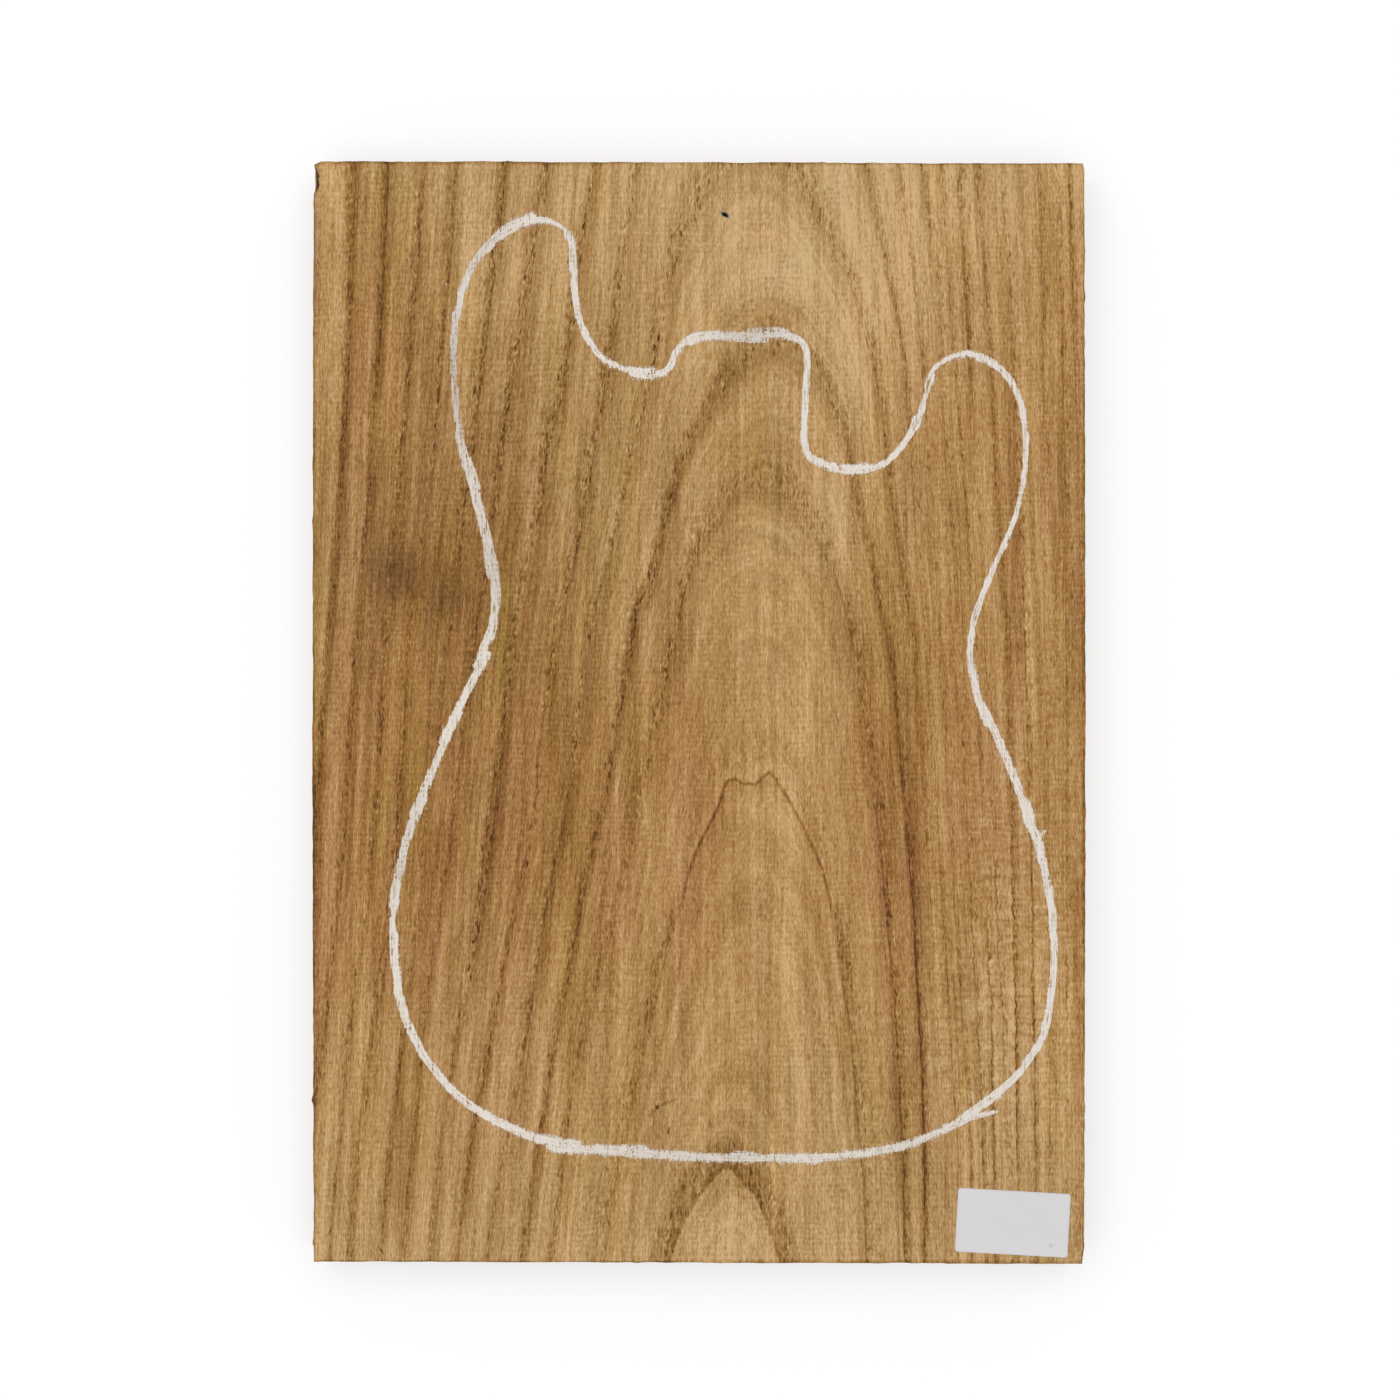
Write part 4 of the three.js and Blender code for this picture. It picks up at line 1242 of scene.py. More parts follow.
def sum_of_streaks(x, y):
    """Adds up STREAKS, each soft at its sides and ends."""
    total = np.zeros(len(x))
    for across, top, bottom, half, amount in STREAKS:
        drift = 0.6 * np.sin(y / 37 + across)
        side = np.exp(-(((x - across - drift) / half) ** 2))
        total += amount * side * smooth(top + 16, top - 10, y) * smooth(bottom - 16, bottom + 10, y)
    return total


def sum_of_areas(areas, x, y):
    """Adds up soft round areas of (middle, reach, amount)."""
    total = np.zeros(len(x))
    for (middle_x, middle_y), (reach_x, reach_y), amount in areas:
        total += amount * np.exp(-(((x - middle_x) / reach_x) ** 2) - ((y - middle_y) / reach_y) ** 2)
    return total


# Meshes


def new_object(name, data):
    """Puts an object into the scene, in place of an earlier one of that name."""
    old = bpy.data.objects.get(name)
    if old is not None:
        bpy.data.objects.remove(old)
    made = bpy.data.objects.new(name, data)
    bpy.context.scene.collection.objects.link(made)
    return made


def new_piece(name, points, faces, attributes, uvs, material):
    """Makes a smooth mesh object from points in millimetres."""
    mesh = bpy.data.meshes.new(name)
    mesh.from_pydata(np.asarray(points) * MM, [], faces)
    for label, values in attributes.items():
        mesh.attributes.new(label, "FLOAT", "POINT").data.foreach_set("value", np.asarray(values, np.float32))
    layer = mesh.uv_layers.new(name="OFBake")
    layer.data.foreach_set("uv", np.asarray(uvs, np.float32).ravel())
    mesh.polygons.foreach_set("use_smooth", np.ones(len(mesh.polygons), bool))
    mesh.set_sharp_from_angle(angle=SMOOTH_ANGLE)
    mesh.materials.append(material)
    if mesh.validate():
        raise RuntimeError(f"{name} has faulty faces")
    return new_object(name, mesh)


def turned(points, angle, middle):
    """Points turned anticlockwise about the origin and then moved to a middle."""
    turn = np.array([[math.cos(angle), math.sin(angle)], [-math.sin(angle), math.cos(angle)]])
    return points @ turn + middle


def wall(first, second, count):
    """Faces between two closed rows of count points, from the numbers of their first points."""
    return [(first + i, first + (i + 1) % count, second + (i + 1) % count, second + i) for i in range(count)]


def quad_uvs(u, v):
    """The four corners of a box on the map, anticlockwise from its lower left one."""
    return [(u[0], v[0]), (u[1], v[0]), (u[1], v[1]), (u[0], v[1])]


def filled(loop, inner):
    """Triangles that fill a closed loop of points, with inner points among them, as numbers into both."""
    points = [Vector(point) for point in np.vstack([loop, inner])]
    count = len(loop)
    edges = [(i, (i + 1) % count) for i in range(count)]
    found, _, faces, origins, _, _ = delaunay_2d_cdt(points, edges, [], 1, 1e-6)
    if len(found) != len(points):
        raise RuntimeError("points of a face lie on one another")
    return [tuple(origins[i][0] for i in face) for face in faces]


def kept_apart(points, least, taken):
    """Leaves out each point that is nearer than least to one before it or to one of the taken ones."""
    tree = KDTree(len(taken))
    for i, point in enumerate(taken):
        tree.insert((*point, 0), i)
    tree.balance()
    free = [p for p in points if tree.find((*p, 0))[2] > least]
    kept, cells = [], {}
    for point in free:
        cell = (int(point[0] // least), int(point[1] // least))
        near = [q for i in (-1, 0, 1) for j in (-1, 0, 1) for q in cells.get((cell[0] + i, cell[1] + j), ())]
        if all(math.dist(point, q) >= least for q in near):
            kept.append(tuple(point))
            cells.setdefault(cell, []).append(point)
    return np.array(kept)


def bowed(start, end, bulge, count):
    """Points from start to end along a side that bulges, without the last one."""
    share = np.linspace(0, 1, count, endpoint=False)[:, None]
    control = np.array([start[0] + bulge, 0.0])
    return (1 - share) ** 2 * start + 2 * share * (1 - share) * control + share ** 2 * end


def board_outline(step):
    """The board's plan, anticlockwise from the bottom left corner, and the side that each point is on."""
    x, y, drop = BOARD_WIDTH / 2, BOARD_LENGTH / 2, END_DROP
    corners = [np.array(corner) for corner in (
        (-x, -y + drop), (x - BOTTOM_RIGHT_NICK[0], -y - drop), (x, -y - drop + BOTTOM_RIGHT_NICK[1]),
        (x, y - drop - TOP_RIGHT_NICK[1]), (x - TOP_RIGHT_NICK[0], y - drop),
        (-x + TOP_LEFT_NICK[0], y + drop), (-x, y + drop - TOP_LEFT_NICK[1]),
    )]
    bulges = (0, 0, SIDE_BULGE, 0, 0, 0, -SIDE_BULGE)
    sides = (0, 1, 1, 1, 2, 3, 3)
    points, side_of = [], []
    for i, (start, bulge, side) in enumerate(zip(corners, bulges, sides)):
        end = corners[(i + 1) % len(corners)]
        count = max(2, round(math.dist(start, end) / step))
        if bulge:
            points.append(bowed(start, end, bulge, count))
        else:
            points.append(start + np.linspace(0, 1, count, endpoint=False)[:, None] * (end - start))
        side_of += [side] * count
    return np.vstack(points), np.array(side_of)


def outward(loop):
    """Unit vectors that point out of an anticlockwise loop."""
    ahead = np.roll(loop, -1, 0) - loop
    ahead /= np.linalg.norm(ahead, axis=1)[:, None]
    tangent = ahead + np.roll(ahead, 1, 0)
    tangent /= np.linalg.norm(tangent, axis=1)[:, None]
    return np.column_stack([tangent[:, 1], -tangent[:, 0]])


def tear_depth(loop, height, roughness):
    """How far the torn hollow has taken the left side back at a height."""
    middle, half_length, width, depth = TEAR
    room = 1 - ((loop[:, 1] - middle) / half_length) ** 2 - ((height - FACE) / depth) ** 2
    torn = width * np.sqrt(np.clip(room, 0, 1)) * (1 + TEAR_ROUGHNESS * roughness)
    return np.where(loop[:, 0] < 0, torn, 0)


def edge_rows(board, rng):
    """The board's sides as rows of points, one row for each height, and its plan."""
    loop, sides = board_outline(board.outline_step / MM)
    out = outward(loop)
    count = len(loop)
    stray = board.saw_wander / MM * (wander(count, 3, rng) + 0.8 * wander(count, 14, rng))
    worn = board.arris_wear / MM * (1 + 0.45 * wander(count, 3, rng) + 0.3 * wander(count, 16, rng))
    chip_size, chip_reach, seldom = CHIPS
    chips = chip_size * np.clip(wander(count, chip_reach, rng) - seldom, 0, 1)
    rows = []
    for height, share in EDGE_ROWS:
        saw = SAW_MARK[0] * wander(count, SAW_MARK[1], rng)
        reach = stray + saw - share * np.clip(worn + chips, 0.08, None)
        splinter_rise = smooth(FACE - SPLINTER_RISE, FACE, height)
        for place, length, half in SPLINTERS:
            apart = np.linalg.norm(loop - place, axis=1)
            reach += length * np.exp(-((apart / half) ** 2)) * splinter_rise * (1 - share * 0.5)
        torn = tear_depth(loop, height, wander(count, 2, rng))
        reach = np.minimum(reach, np.where(torn > 0.02, -torn, 9))
        rows.append(np.column_stack([loop + out * reach[:, None], np.full(count, height)]))
    return rows, loop, sides


def pit_points():
    """Points in rings round the small hole, and how deep and how dark each lies."""
    mouth = np.array(PIT_MOUTH)
    angles = np.arctan2(mouth[:, 1], mouth[:, 0])
    order = np.argsort(angles)
    reach = np.hypot(*mouth.T)
    points, depth, dark = [], [], []
    for share, down, shade, count in PIT_RINGS:
        angle = np.linspace(-math.pi, math.pi, count, endpoint=False) + share
        angle = (angle + math.pi) % math.tau - math.pi
        far = share * np.interp(angle, angles[order], reach[order], period=math.tau)
        far = far + max(0, share - 1) * PIT_SPREAD
        around = np.column_stack([far * np.cos(angle), far * np.sin(angle)])
        points.append(turned(around, PIT_TURN, PIT_PLACE))
        depth.append(np.full(count, -PIT_DEPTH * down))
        dark.append(np.full(count, shade))
    return np.vstack(points), np.concatenate(depth), np.concatenate(dark)


def staggered(step_x, step_y, middle=(0, 0), reach=(BOARD_WIDTH / 2, BOARD_LENGTH / 2), is_round=False):
    """A grid of points with every second row set off by half a step."""
    points = []
    for i, y in enumerate(np.arange(-reach[1], reach[1] + step_y, step_y)):
        xs = np.arange(-reach[0] + (i % 2) * step_x / 2, reach[0] + step_x, step_x)
        points.append(np.column_stack([xs, np.full(len(xs), y)]))
    grid = np.vstack(points)
    if is_round:
        grid = grid[np.hypot(grid[:, 0] / reach[0], grid[:, 1] / reach[1]) <= 1]
    return grid + middle


def face_points(step, loop):
    """Points of the marked face, close round the small hole, on the rim and where ring lines turn."""
    pit, depth, dark = pit_points()
    out = outward(loop)
    rims = [loop - out * inset for inset in RIM_INSETS]
    close = [staggered(step / 2, step / 2, middle, reach, True) for middle, reach in TURN_AREAS]
    everywhere = np.vstack([*rims, *close, staggered(step, step * 1.9)])
    inner = kept_apart(everywhere, POINT_GAP, np.vstack([loop, pit]))
    left = np.column_stack([np.full(len(inner), -1.0), inner[:, 1]])
    room = BOARD_WIDTH / 2 - SIDE_MARGIN - np.where(inner[:, 0] < 0, tear_depth(left, FACE, 0.3), 0)
    inside = (np.abs(inner[:, 0]) < room) & (np.abs(inner[:, 1]) < BOARD_LENGTH / 2 - END_MARGIN)
    nick = inner[:, 1] - inner[:, 0] / 2 > BOARD_LENGTH / 2 + BOARD_WIDTH / 4 - CORNER_MARGIN
    clear = np.hypot(*(inner - PIT_PLACE).T) > PIT_CLEARANCE
    return np.vstack([pit, inner[inside & ~nick & clear]]), depth, dark


def back_points(step, loop):
    """Points of the underside, further apart."""
    grid = staggered(step * BACK_STEPS[0], step * BACK_STEPS[1])
    room = (BOARD_WIDTH / 2 - BACK_MARGINS[0], BOARD_LENGTH / 2 - BACK_MARGINS[1])
    rim = kept_apart(loop - outward(loop) * BACK_INSET, BACK_GAP, loop)
    return kept_apart(np.vstack([rim, grid[(np.abs(grid) < room).all(1)]]), BACK_GAP, loop)


def strip_uvs(rows, sides):
    """Places on the map for the faces between the rows of the edge, one upright strip for each side."""
    points = np.array(rows)
    climb = np.zeros(len(rows))
    climb[1:] = np.cumsum(np.linalg.norm(np.diff(points, axis=0), axis=2).mean(1))
    middle_row = points[5, :, :2]
    ahead = np.linalg.norm(np.roll(middle_row, -1, 0) - middle_row, axis=1)
    uvs = np.empty((len(rows) - 1, points.shape[1], 4, 2))
    for side in range(4):
        members = np.flatnonzero(sides == side)
        run = np.concatenate([[0], np.cumsum(ahead[members])])
        along = STRIP_CORNER[1] + STRIP_SIZE[1] * run / STRIP_LENGTH
        across = STRIP_CORNER[0] + STRIP_PITCH * side + STRIP_SIZE[0] * climb / climb[-1]
        for corner, (up, on) in enumerate(((0, 0), (0, 1), (1, 1), (1, 0))):
            uvs[:, members, corner, 0] = across[up:len(rows) - 1 + up, None]
            uvs[:, members, corner, 1] = along[on:len(members) + on]
    return uvs.reshape(-1, 2)


def plan_uvs(points, faces, low, high):
    """Places on the map for faces seen from above, with the board's plan laid into a box from low to high."""
    plan = (points[:, :2] - BOARD_LOW[:2] + 1.5) / (BOARD_HIGH[:2] - BOARD_LOW[:2] + 3)
    spread = np.array(low) + plan * (np.array(high) - low)
    return spread[np.array(faces).ravel()]


def lie_of_rings(x, y, z):
    """The ring number at each point, the distance to the next ring, and how far the rings cross the grain."""
    rings = Rings()
    ring = rings.at(x, y, z)
    slopes = [
        rings.at(x + PROBE, y, z) - ring, rings.at(x, y + PROBE, z) - ring, rings.at(x, y, z - PROBE) - ring,
    ]
    slopes[2] = np.where(z > FACE - SKIN, 0, slopes[2])
    spacing = np.clip(PROBE / np.linalg.norm(slopes, axis=0), *SPACING_LIMITS)
    return ring, spacing, (slopes[1] * spacing / PROBE) ** 2


def rim_darkening(edge, count, rng):
    """How far each point of the edge is darkened, most at the rims of both faces."""
    worn = np.array([share for _, share in EDGE_ROWS]).repeat(count)
    near = np.maximum(1 - np.abs(edge[:, 2] - FACE) / RIM_REACH, 1 - np.abs(edge[:, 2]) / RIM_REACH)
    uneven = np.tile(0.75 + 0.5 * wander(count, 10, rng), len(EDGE_ROWS))
    return np.clip(np.maximum(near, worn), 0, 1) * uneven


def make_board_wood(board):
    """The sawn board, with its rings and tones kept as values at its points."""
    rng = np.random.default_rng(11)
    rows, loop, sides = edge_rows(board, rng)
    count = len(loop)
    edge = np.vstack(rows)
    step = board.grain_step / MM
    top_loop, bottom_loop = rows[-1][:, :2], rows[0][:, :2]
    top_inner, pit_depth, pit_dark = face_points(step, top_loop)
    bottom_inner = back_points(step, bottom_loop)
    top_z = np.full(len(top_inner), FACE)
    top_z[:len(pit_depth)] += pit_depth
    points = np.vstack([
        edge,
        np.column_stack([top_inner, top_z]),
        np.column_stack([bottom_inner, np.zeros(len(bottom_inner))]),
    ])
    last_row = count * (len(rows) - 1)
    first_top = len(edge)
    first_bottom = first_top + len(top_inner)
    walls = [quad for row in range(len(rows) - 1) for quad in wall(row * count, (row + 1) * count, count)]
    face = [tuple(last_row + i for i in triangle) for triangle in filled(top_loop, top_inner)]
    back = [
        tuple(i if i < count else first_bottom + i - count for i in reversed(triangle))
        for triangle in filled(bottom_loop, bottom_inner)
    ]

    x, y, z = points.T
    on_face = z > FACE - SKIN
    ring, spacing, steepness = lie_of_rings(x, y, z)
    early = 1 - smooth(0.0, 0.35, ring - np.floor(ring))
    inner_face = slice(first_top + len(pit_depth), first_bottom)
    points[inner_face, 2] -= EARLY_WOOD_SINK * early[inner_face] + FACE_SINK
    depth = line_darkness(x, y, ring)
    depth = np.where(on_face, depth, np.maximum(depth, DEEP_LINES))
    crest_share = np.where(on_face, smooth(*CREST_FADE, y), 0)
    depth *= 1 - crest_share * np.exp(-(((ring - 1) / 0.4) ** 2)) * smooth(20, 0, y)
    tail_share = np.where(on_face, smooth(*TAIL_FADE, y), 0)
    depth *= 1 - tail_share * smooth(0.9, 0.6, np.abs(ring))
    tail_crest = [(across, along * TAIL_SQUEEZE) for across, along in TAIL_CREST]
    lean = np.clip(sum_of_areas(LEANING_AREAS, x, y), 0, 1)
    raggedness = 0.22 + 0.4 * lean + 2.2 * np.clip(steepness * smooth(-10, 40, y), 0, 1)
    clouds = sum_of_areas(CLOUDS, x, y)
    tones = clouds + sum_of_streaks(x, y) + sum_of_zones(x, y, ring)
    rim, hollow, torn = np.zeros((3, len(points)))
    rim[:first_top] = rim_darkening(edge, count, rng)
    hollow[first_top:first_top + len(pit_dark)] = pit_dark
    torn[:first_top] = np.concatenate([tear_depth(loop, height, np.zeros(count)) for height, _ in EDGE_ROWS])
    attributes = {
        "ring": ring,
        "ring_depth": depth,
        "spacing": spacing * MM,
        "raggedness": raggedness * MM,
        "crest": crest_reach(CREST, x, y, CREST_SPAN) * MM,
        "crest_share": crest_share,
        "tail_crest": crest_reach(tail_crest, x, y * TAIL_SQUEEZE, TAIL_SPAN) * MM,
        "tail_share": tail_share,
        "grain_shift": -y * np.interp(x, *np.array(GRAIN_LEANS).T) * MM,
        "warmth": np.clip(sum_of_areas(WARM_AREAS, x, y), 0, 1),
        "cloud": np.where(on_face, tones, DEEP_CLOUDS * clouds - DEEP_SHADE),
        "curl": np.clip(sum_of_areas(CURLS, x, y), 0, 1.2),
        "crisp": np.clip(sum_of_areas(CRISP_AREAS, x, y), 0, 1.2),
        "lean": lean,
        "rim": rim,
        "hollow": hollow,
        "torn": torn / TEAR[2],
    }
    uvs = np.vstack([
        strip_uvs(rows, sides),
        plan_uvs(points, face, *FACE_MAP),
        plan_uvs(points * (-1, 1, 1), back, *BACK_MAP),
    ])
    piece = new_piece("board_wood", points, walls + face + back, attributes, uvs, wood_material(board))
    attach(piece, "root")
    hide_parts("board")


# The chalk line


def curve_through(places):
    """Points and headings at numbered places on the closed curve that the CAD draws, OUTLINE_SHARES."""
    knots = np.array(OUTLINE_SHARES) * DRAWN_SIZE + DRAWN_MIDDLE
    count = len(knots)
    number = np.floor(places).astype(int)
    share = (places - number)[:, None]
    before, start, end, after = (knots[(number + i) % count] for i in (-1, 0, 1, 2))
    gap0, gap1, gap2 = (
        np.sqrt(np.linalg.norm(second - first, axis=1))[:, None]
        for first, second in ((before, start), (start, end), (end, after))
    )
    slope0 = ((start - before) / gap0 - (end - before) / (gap0 + gap1) + (end - start) / gap1) * gap1
    slope1 = ((end - start) / gap1 - (after - start) / (gap1 + gap2) + (after - end) / gap2) * gap1
    square = -3 * start + 3 * end - 2 * slope0 - slope1
    cube = 2 * start - 2 * end + slope0 + slope1
    point = start + slope0 * share + square * share ** 2 + cube * share ** 3
    heading = slope0 + 2 * square * share + 3 * cube * share ** 2
    return point, heading / np.linalg.norm(heading, axis=1)[:, None]


class DrawnLine:
    """The chalk line's middle, with lengths along it."""

    def __init__(self, step):
        self.count = len(OUTLINE_SHARES)
        fine = np.linspace(0, self.count, self.count * 40 + 1)
        points, _ = curve_through(fine)
        lengths = np.concatenate([[0], np.cumsum(np.linalg.norm(np.diff(points, axis=0), axis=1))])
        self.fine, self.lengths, self.total = fine, lengths, lengths[-1]
        sections = round(self.total / step)
        self.run = np.arange(sections) * self.total / sections
        self.places = np.interp(self.run, lengths, fine)
        self.points, self.headings = curve_through(self.places)
        self.across = np.column_stack([-self.headings[:, 1], self.headings[:, 0]])

    def length_at(self, place):
        turns = np.floor(place / self.count)
        return turns * self.total + np.interp(place - turns * self.count, self.fine, self.lengths)

    def along_stroke(self, first):
        """For each section, its distance after place first, on the same lap or the next."""
        return (self.run - self.length_at(first)) % self.total


def stroke_reach(line, width, stroke, rng):
    """A stroke's middle and its reach to the left and right of it at each section, and where it is."""
    (first, last), (start_width, stop_width), (start_side, stop_side) = stroke
    length = line.length_at(last) - line.length_at(first)
    done = line.along_stroke(first)
    inside = done <= length
    share = done / length
    left_over = length - done
    missing = 1 - np.clip(np.minimum(done, left_over) / CHALK_END, 0, 1)
    full = CHALK_BLUNT + (1 - CHALK_BLUNT) * np.sqrt(1 - missing ** 2)
    half = width / 2 * (start_width + (stop_width - start_width) * share)
    middle = width * (
        start_side * (1 - smooth(0, CHALK_MERGE, done)) + stop_side * (1 - smooth(0, CHALK_MERGE, left_over))
    )
    sides = []
    for lead in (first, last):
        waves = [np.sin(math.tau * done / wave + lead * (i + 1)) for i, wave in enumerate(CHALK_WAVES)]
        rough = CHALK_ROUGHNESS * wander(len(done), 2, rng)
        sides.append(full * (half + CHALK_TREMOR / 2 * sum(waves)) + rough)
    return inside, middle, sides[0], sides[1]


def spur_lie(spur, width):
    """Where a spur starts, the way that it points, and its length and half width."""
    place, degrees, length_share, width_share = spur
    start = curve_through(np.array([place]))[0][0]
    heading = np.array([math.cos(math.radians(degrees)), math.sin(math.radians(degrees))])
    return start, heading, length_share * width, width_share * width / 2


def spur_cover(points, width):
    """How well the ends of strokes that leave the line cover each point."""
    cover = np.zeros(points.shape[:-1])
    for spur in SPURS:
        start, heading, length, half_width = spur_lie(spur, width)
        apart = points - start
        along = (apart @ heading) / length
        beside = np.abs(apart @ np.array([-heading[1], heading[0]]))
        half = half_width * np.interp(along, *SPUR_TAPER)
        ends = smooth(-0.05, 0.05, along) * (1 - smooth(0.93, 1.03, along))
        cover = np.maximum(cover, ends * smooth(-0.1, 0.45, half - beside))
    return cover


def near_sections(values):
    """The values at each section of the line and at two more before and behind it."""
    return [np.roll(values, i) for i in range(-2, 3)]


def strip_reach(line, strokes, width):
    """How far to the right and the left of the line the strip has to reach to take in every stroke."""
    low = np.full(len(line.run), 9.0)
    high = -low
    for inside, middle, left, right in strokes:
        low = np.where(inside, np.minimum(low, middle - right), low)
        high = np.where(inside, np.maximum(high, middle + left), high)
    for spur in SPURS:
        start, heading, length, half = spur_lie(spur, width)
        for far in np.linspace(0, length, 60):
            apart = start + heading * far - line.points
            near = np.abs((apart * line.headings).sum(1)) < 1.2
            near &= np.linalg.norm(apart, axis=1) < 12
            reach = (apart * line.across).sum(1)
            high = np.where(near, np.maximum(high, reach + half), high)
            low = np.where(near, np.minimum(low, reach - half), low)
    low = np.minimum.reduce(near_sections(low)) - CHALK_MARGIN
    high = np.maximum.reduce(near_sections(high)) + CHALK_MARGIN
    return (sum(near_sections(reach)) / 5 for reach in (low, high))


def stroke_cover(strokes, beside, level):
    """How well the strokes cover each point, and how many of them lie there."""
    cover, layers = np.zeros((2, *beside.shape))
    soft = level[:, None]
    for inside, middle, left, right in strokes:
        off = beside - middle[:, None]
        room = np.minimum(left[:, None] - off, right[:, None] + off)
        one = np.where(inside[:, None], smooth(-0.3 - 0.3 * soft, 0.85 + 0.75 * soft, room), 0)
        cover = np.maximum(cover, one)
        layers += one
    return cover, layers


def thinness(line):
    """How thin the chalk lies at each section of the line, from the table THIN_CHALK."""
    thin = np.zeros(len(line.run))
    for place, reach, amount in THIN_CHALK:
        apart = (line.places - place + line.count / 2) % line.count - line.count / 2
        thin = np.maximum(thin, amount * np.exp(-((apart / reach) ** 2)))
    return thin


def strip_faces(line, columns):
    """Faces of a closed strip along the line, its top and its flat underside, and their places on the map."""
    sections = len(line.run)
    rows = math.ceil(line.total / CHALK_ROW)
    span = line.total / rows
    faces, uvs = [], []
    for i, run in enumerate(line.run):
        first, second = i * columns, (i + 1) % sections * columns
        row = min(int(run // span), rows - 1)
        u = [0.01 + 0.975 * (run - row * span + ahead) / (span + 1) for ahead in (0, line.total / sections)]
        for j in range(columns - 1):
            faces.append((first + j, second + j, second + j + 1, first + j + 1))
            uvs += quad_uvs(u, [0.01 + 0.9 / rows * (row + 0.9 * (j + up) / (columns - 1)) for up in (0, 1)])
        faces.append((first + columns - 1, second + columns - 1, second, first))
        uvs += quad_uvs(u, [0.915 + 0.075 * (row + up) / rows for up in (0.1, 0.8)])
    return faces, uvs


def make_chalk_line(chalk):
    """The chalk as one thin broken layer: a strip along the drawn line, high where the chalk lies thick."""
    rng = np.random.default_rng(23)
    width, thickness = chalk.width / MM, chalk.thickness / MM
    line = DrawnLine(chalk.step / MM)
    level = 1 - smooth(0.25, 0.75, np.abs(line.headings[:, 1]))
    widths = width * (1 + LEVEL_WIDENING * level)
    strokes = [stroke_reach(line, widths, stroke, rng) for stroke in STROKES]
    low, high = strip_reach(line, strokes, width)
    beside = low[:, None] + (high - low)[:, None] * np.linspace(0, 1, CHALK_COLUMNS)
    points = line.points[:, None, :] + line.across[:, None, :] * beside[:, :, None]
    cover, layers = stroke_cover(strokes, beside, level)
    cover = np.maximum(cover, 0.9 * spur_cover(points, width))
    cover[:, 0] = cover[:, -1] = 0
    lumps = 0.8 + 0.35 * rng.standard_normal(cover.shape).clip(-1.5, 1.5) * 0.5
    height = thickness * np.sqrt(cover) * lumps * (0.75 + 0.2 * np.clip(layers, 0, 2))
    rise = np.where(cover > 0.03, np.minimum(height, thickness * 1.15), -CHALK_SINK)
    thin = thinness(line)
    cover *= 1 - 0.4 * thin[:, None]
    top = np.column_stack([points.reshape(-1, 2), FACE + rise.ravel()])
    faces, uvs = strip_faces(line, CHALK_COLUMNS)
    attributes = {
        "cover": cover.ravel(),
        "beside": beside.ravel(),
        "thin": thin.repeat(CHALK_COLUMNS),
        "run": line.run.repeat(CHALK_COLUMNS),
        "level": level.repeat(CHALK_COLUMNS),
    }
    piece = new_piece("chalk_line", top, faces, attributes, uvs, chalk_material(chalk))
    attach(piece, "root")
    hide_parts("chalk_outline")


# The label


def rounded_outline(half, corner, step):
    """A rectangle of that half size with round corners about the origin, anticlockwise."""
    x, y = half - corner
    middles = ((x, -y), (x, y), (-x, y), (-x, -y))
    points = []
    for i, middle in enumerate(middles):
        turn = i * math.pi / 2
        for angle in np.linspace(turn - math.pi / 2, turn, 7):
            points.append((middle[0] + corner * math.cos(angle), middle[1] + corner * math.sin(angle)))
        start = np.array(points[-1])
        end = np.array(middles[(i + 1) % 4]) + corner * np.array([math.cos(turn), math.sin(turn)])
        parts = max(2, round(math.dist(start, end) / step))
        points += [tuple(start + (end - start) * k / parts) for k in range(1, parts)]
    return np.array(points)


def make_label_sheet(label):
    """The bare paper, a little wavy, with its outer corners come away from the glue."""
    half = np.array(LABEL_SIZE) / 2
    loop = rounded_outline(half, LABEL_CORNER, 1.0)
    grid = staggered(LABEL_STEP, LABEL_STEP, reach=half - 0.9)
    inner = kept_apart(grid[(np.abs(grid) < half - 0.6).all(1)], 0.5, loop)
    flat = np.vstack([loop, inner])
    count, whole = len(loop), len(flat)
    x, y = flat.T
    out_x, out_y = (flat / half).T
    wave = LABEL_WAVE * (1 + np.sin(x * 0.31 + y * 0.12) * np.cos(y * 0.4 - x * 0.07))
    right_corner = smooth(0.8, 1.0, out_x) * smooth(-1.6, 0.6, -out_y)
    lower_rim = 0.6 * smooth(0.75, 1.0, -out_y) * smooth(-1, 1, out_x)
    z = FACE + GLUE_THICKNESS + wave + label.lift / MM * (right_corner + lower_rim)
    placed = turned(flat, LABEL_TURN, LABEL_MIDDLE)
    points = np.vstack([np.column_stack([placed, z + label.paper / MM]), np.column_stack([placed, z])])
    top = filled(loop, inner)
    bottom = [tuple(whole + i for i in reversed(triangle)) for triangle in top]
    plan = flat / LABEL_SIZE + 0.5
    run = np.linspace(0.01, 0.98, count + 1)
    uvs = np.vstack([
        (0.01, 0.4) + plan[np.array(top).ravel()] * (0.98, 0.56),
        (0.01, 0.1) + plan[np.array(bottom).ravel() - whole] * (0.5, 0.28),
        *(quad_uvs(run[i:i + 2], (0.02, 0.06)) for i in range(count)),
    ])
    attributes = {
        "rim": np.tile(np.concatenate([np.ones(count), np.zeros(len(inner))]), 2),
        "spot": sum_of_areas([(*LABEL_SPOT, 1)], *points[:, :2].T),
    }
    faces = top + bottom + wall(whole, 0, count)
    piece = new_piece("label_sheet", points, faces, attributes, uvs, paper_material(label))
    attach(piece, "root")
    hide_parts("label_paper")


def dress_glue(label):
    """Gives the CAD's film of glue its material."""
    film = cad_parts["label_adhesive"]
    film.data.materials.clear()
    film.data.materials.append(glue_material(label))


# The studio


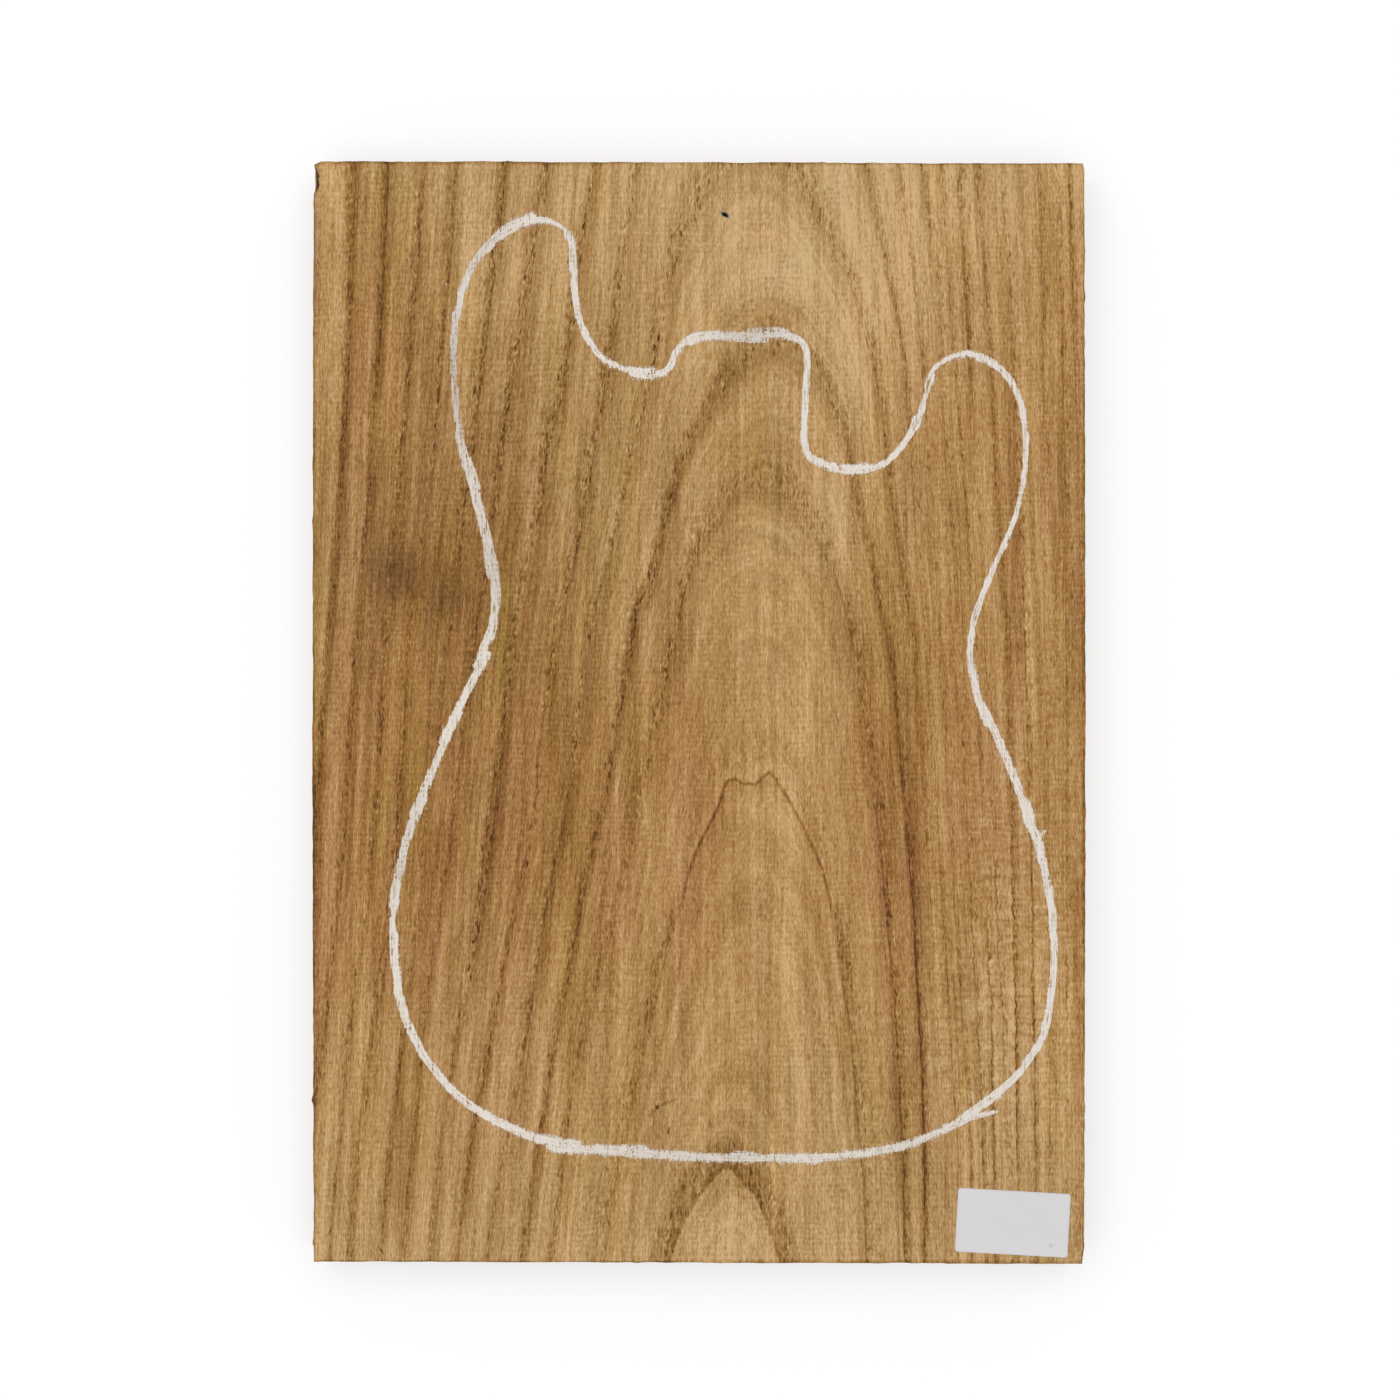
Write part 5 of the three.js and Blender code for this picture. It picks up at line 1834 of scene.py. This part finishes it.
def floor_material(stage):
    """Pale and matt, and lit up a little where the camera sees it, so that it looks white."""
    material, nodes, shader = new_material("pale_floor")
    mottle = nodes.mottle(nodes.place(), 40)
    path = nodes.add("ShaderNodeLightPath").outputs
    nodes.feed(shader.inputs, {
        "Base Color": nodes.scaled(tuple(stage.floor_colour), nodes.weighed(1.0, (mottle, 0.004))),
        "Emission Color": (1, 1, 1, 1),
        "Emission Strength": nodes.times(path["Is Camera Ray"], FLOOR_GLOW),
        "Roughness": 0.9,
        "Specular IOR Level": 0.0,
    })
    return material


def make_floor(stage):
    """A wide round floor, so that no edge of it shows."""
    points = [(0, 0, -FLOOR_DROP * MM)]
    for radius in FLOOR_RADII:
        for angle in np.arange(FLOOR_SIDES) * math.tau / FLOOR_SIDES:
            points.append((radius * math.cos(angle), radius * math.sin(angle), -FLOOR_DROP * MM))
    faces = [(0, 1 + i, 1 + (i + 1) % FLOOR_SIDES) for i in range(FLOOR_SIDES)]
    for ring in range(len(FLOOR_RADII) - 1):
        first = 1 + ring * FLOOR_SIDES
        faces += wall(first + FLOOR_SIDES, first, FLOOR_SIDES)
    mesh = bpy.data.meshes.new("floor")
    mesh.from_pydata(points, [], faces)
    mesh.materials.append(floor_material(stage))
    floor = new_object("floor", mesh)


def light_world(stage):
    """Even light from all round, and plain white where the camera or a reflection sees past the floor."""
    world = bpy.data.worlds.get("studio") or bpy.data.worlds.new("studio")
    world.use_nodes = True
    world.node_tree.nodes.clear()
    nodes = Nodes(world.node_tree)
    path = nodes.add("ShaderNodeLightPath").outputs
    seen = nodes.math("MAXIMUM", path["Is Glossy Ray"], path["Is Transmission Ray"])
    seen = nodes.math("MAXIMUM", path["Is Camera Ray"], seen)
    strength = nodes.add("ShaderNodeMix", {0: seen, 2: stage.sky, 3: 1.0}).outputs[0]
    background = nodes.add("ShaderNodeBackground", {"Color": (1, 1, 1, 1), "Strength": strength})
    nodes.add("ShaderNodeOutputWorld", {"Surface": background.outputs["Background"]})
    bpy.context.scene.world = world


def hang_lamp(stage):
    """One broad lamp above the camera."""
    lamp = bpy.data.lights.new("overhead", "AREA")
    lamp.shape = "DISK"
    lamp.size = LAMP_SIZE
    lamp.energy = stage.lamp
    overhead = new_object("overhead", lamp)
    overhead.location = LAMP_PLACE
    overhead.rotation_euler = Vector(LAMP_PLACE).to_track_quat("Z", "Y").to_euler()


def set_camera(stage):
    """Straight above the board, as in the photograph."""
    camera = bpy.data.cameras.new("camera")
    camera.lens = stage.lens
    camera.sensor_width = CAMERA_FILM
    camera.clip_end = CAMERA_SIGHT
    holder = new_object("camera", camera)
    holder.location = (*CAMERA_PLACE, stage.height)
    bpy.context.scene.camera = holder
    bpy.context.scene.view_settings.view_transform = "Standard"


# Operators and panel


class BLANK_OT_board(bpy.types.Operator):
    """Build the sawn wooden board"""

    bl_idname = "blank.board"
    bl_label = "Board"

    def execute(self, context):
        make_board_wood(context.scene.body_blank.board)
        return {"FINISHED"}


class BLANK_OT_chalk(bpy.types.Operator):
    """Build the chalk line on the board's face"""

    bl_idname = "blank.chalk"
    bl_label = "Chalk line"

    def execute(self, context):
        make_chalk_line(context.scene.body_blank.chalk)
        return {"FINISHED"}


class BLANK_OT_label(bpy.types.Operator):
    """Build the bare label and finish the glue under it"""

    bl_idname = "blank.label"
    bl_label = "Label"

    def execute(self, context):
        make_label_sheet(context.scene.body_blank.label)
        dress_glue(context.scene.body_blank.label)
        return {"FINISHED"}


class BLANK_OT_stage(bpy.types.Operator):
    """Set up the floor, the light and the camera"""

    bl_idname = "blank.stage"
    bl_label = "Stage"

    def execute(self, context):
        stage = context.scene.body_blank.stage
        make_floor(stage)
        light_world(stage)
        hang_lamp(stage)
        set_camera(stage)
        return {"FINISHED"}


class BLANK_PT_sidebar(bpy.types.Panel):
    """Lists the pieces of the blank with their sizes and colours"""

    bl_label = "Body blank"
    bl_idname = "BLANK_PT_sidebar"
    bl_space_type = "VIEW_3D"
    bl_region_type = "UI"
    bl_category = "Body blank"

    def draw(self, context):
        settings = context.scene.body_blank
        for operator, group in (
            ("blank.board", settings.board), ("blank.chalk", settings.chalk),
            ("blank.label", settings.label), ("blank.stage", settings.stage),
        ):
            box = self.layout.box()
            box.operator(operator)
            for name in group.bl_rna.properties.keys():
                if name not in ("rna_type", "name"):
                    box.prop(group, name)


CLASSES = (
    BoardSettings, ChalkSettings, LabelSettings, StageSettings, BlankSettings,
    BLANK_OT_board, BLANK_OT_chalk, BLANK_OT_label, BLANK_OT_stage, BLANK_PT_sidebar,
)


def register():
    for cls in CLASSES:
        bpy.utils.register_class(cls)
    bpy.types.Scene.body_blank = PointerProperty(type=BlankSettings)


def unregister():
    del bpy.types.Scene.body_blank
    for cls in reversed(CLASSES):
        bpy.utils.unregister_class(cls)


def main():
    register()
    bpy.ops.blank.stage()
    bpy.ops.blank.board()
    bpy.ops.blank.chalk()
    bpy.ops.blank.label()


if __name__ == "__main__":
    main()
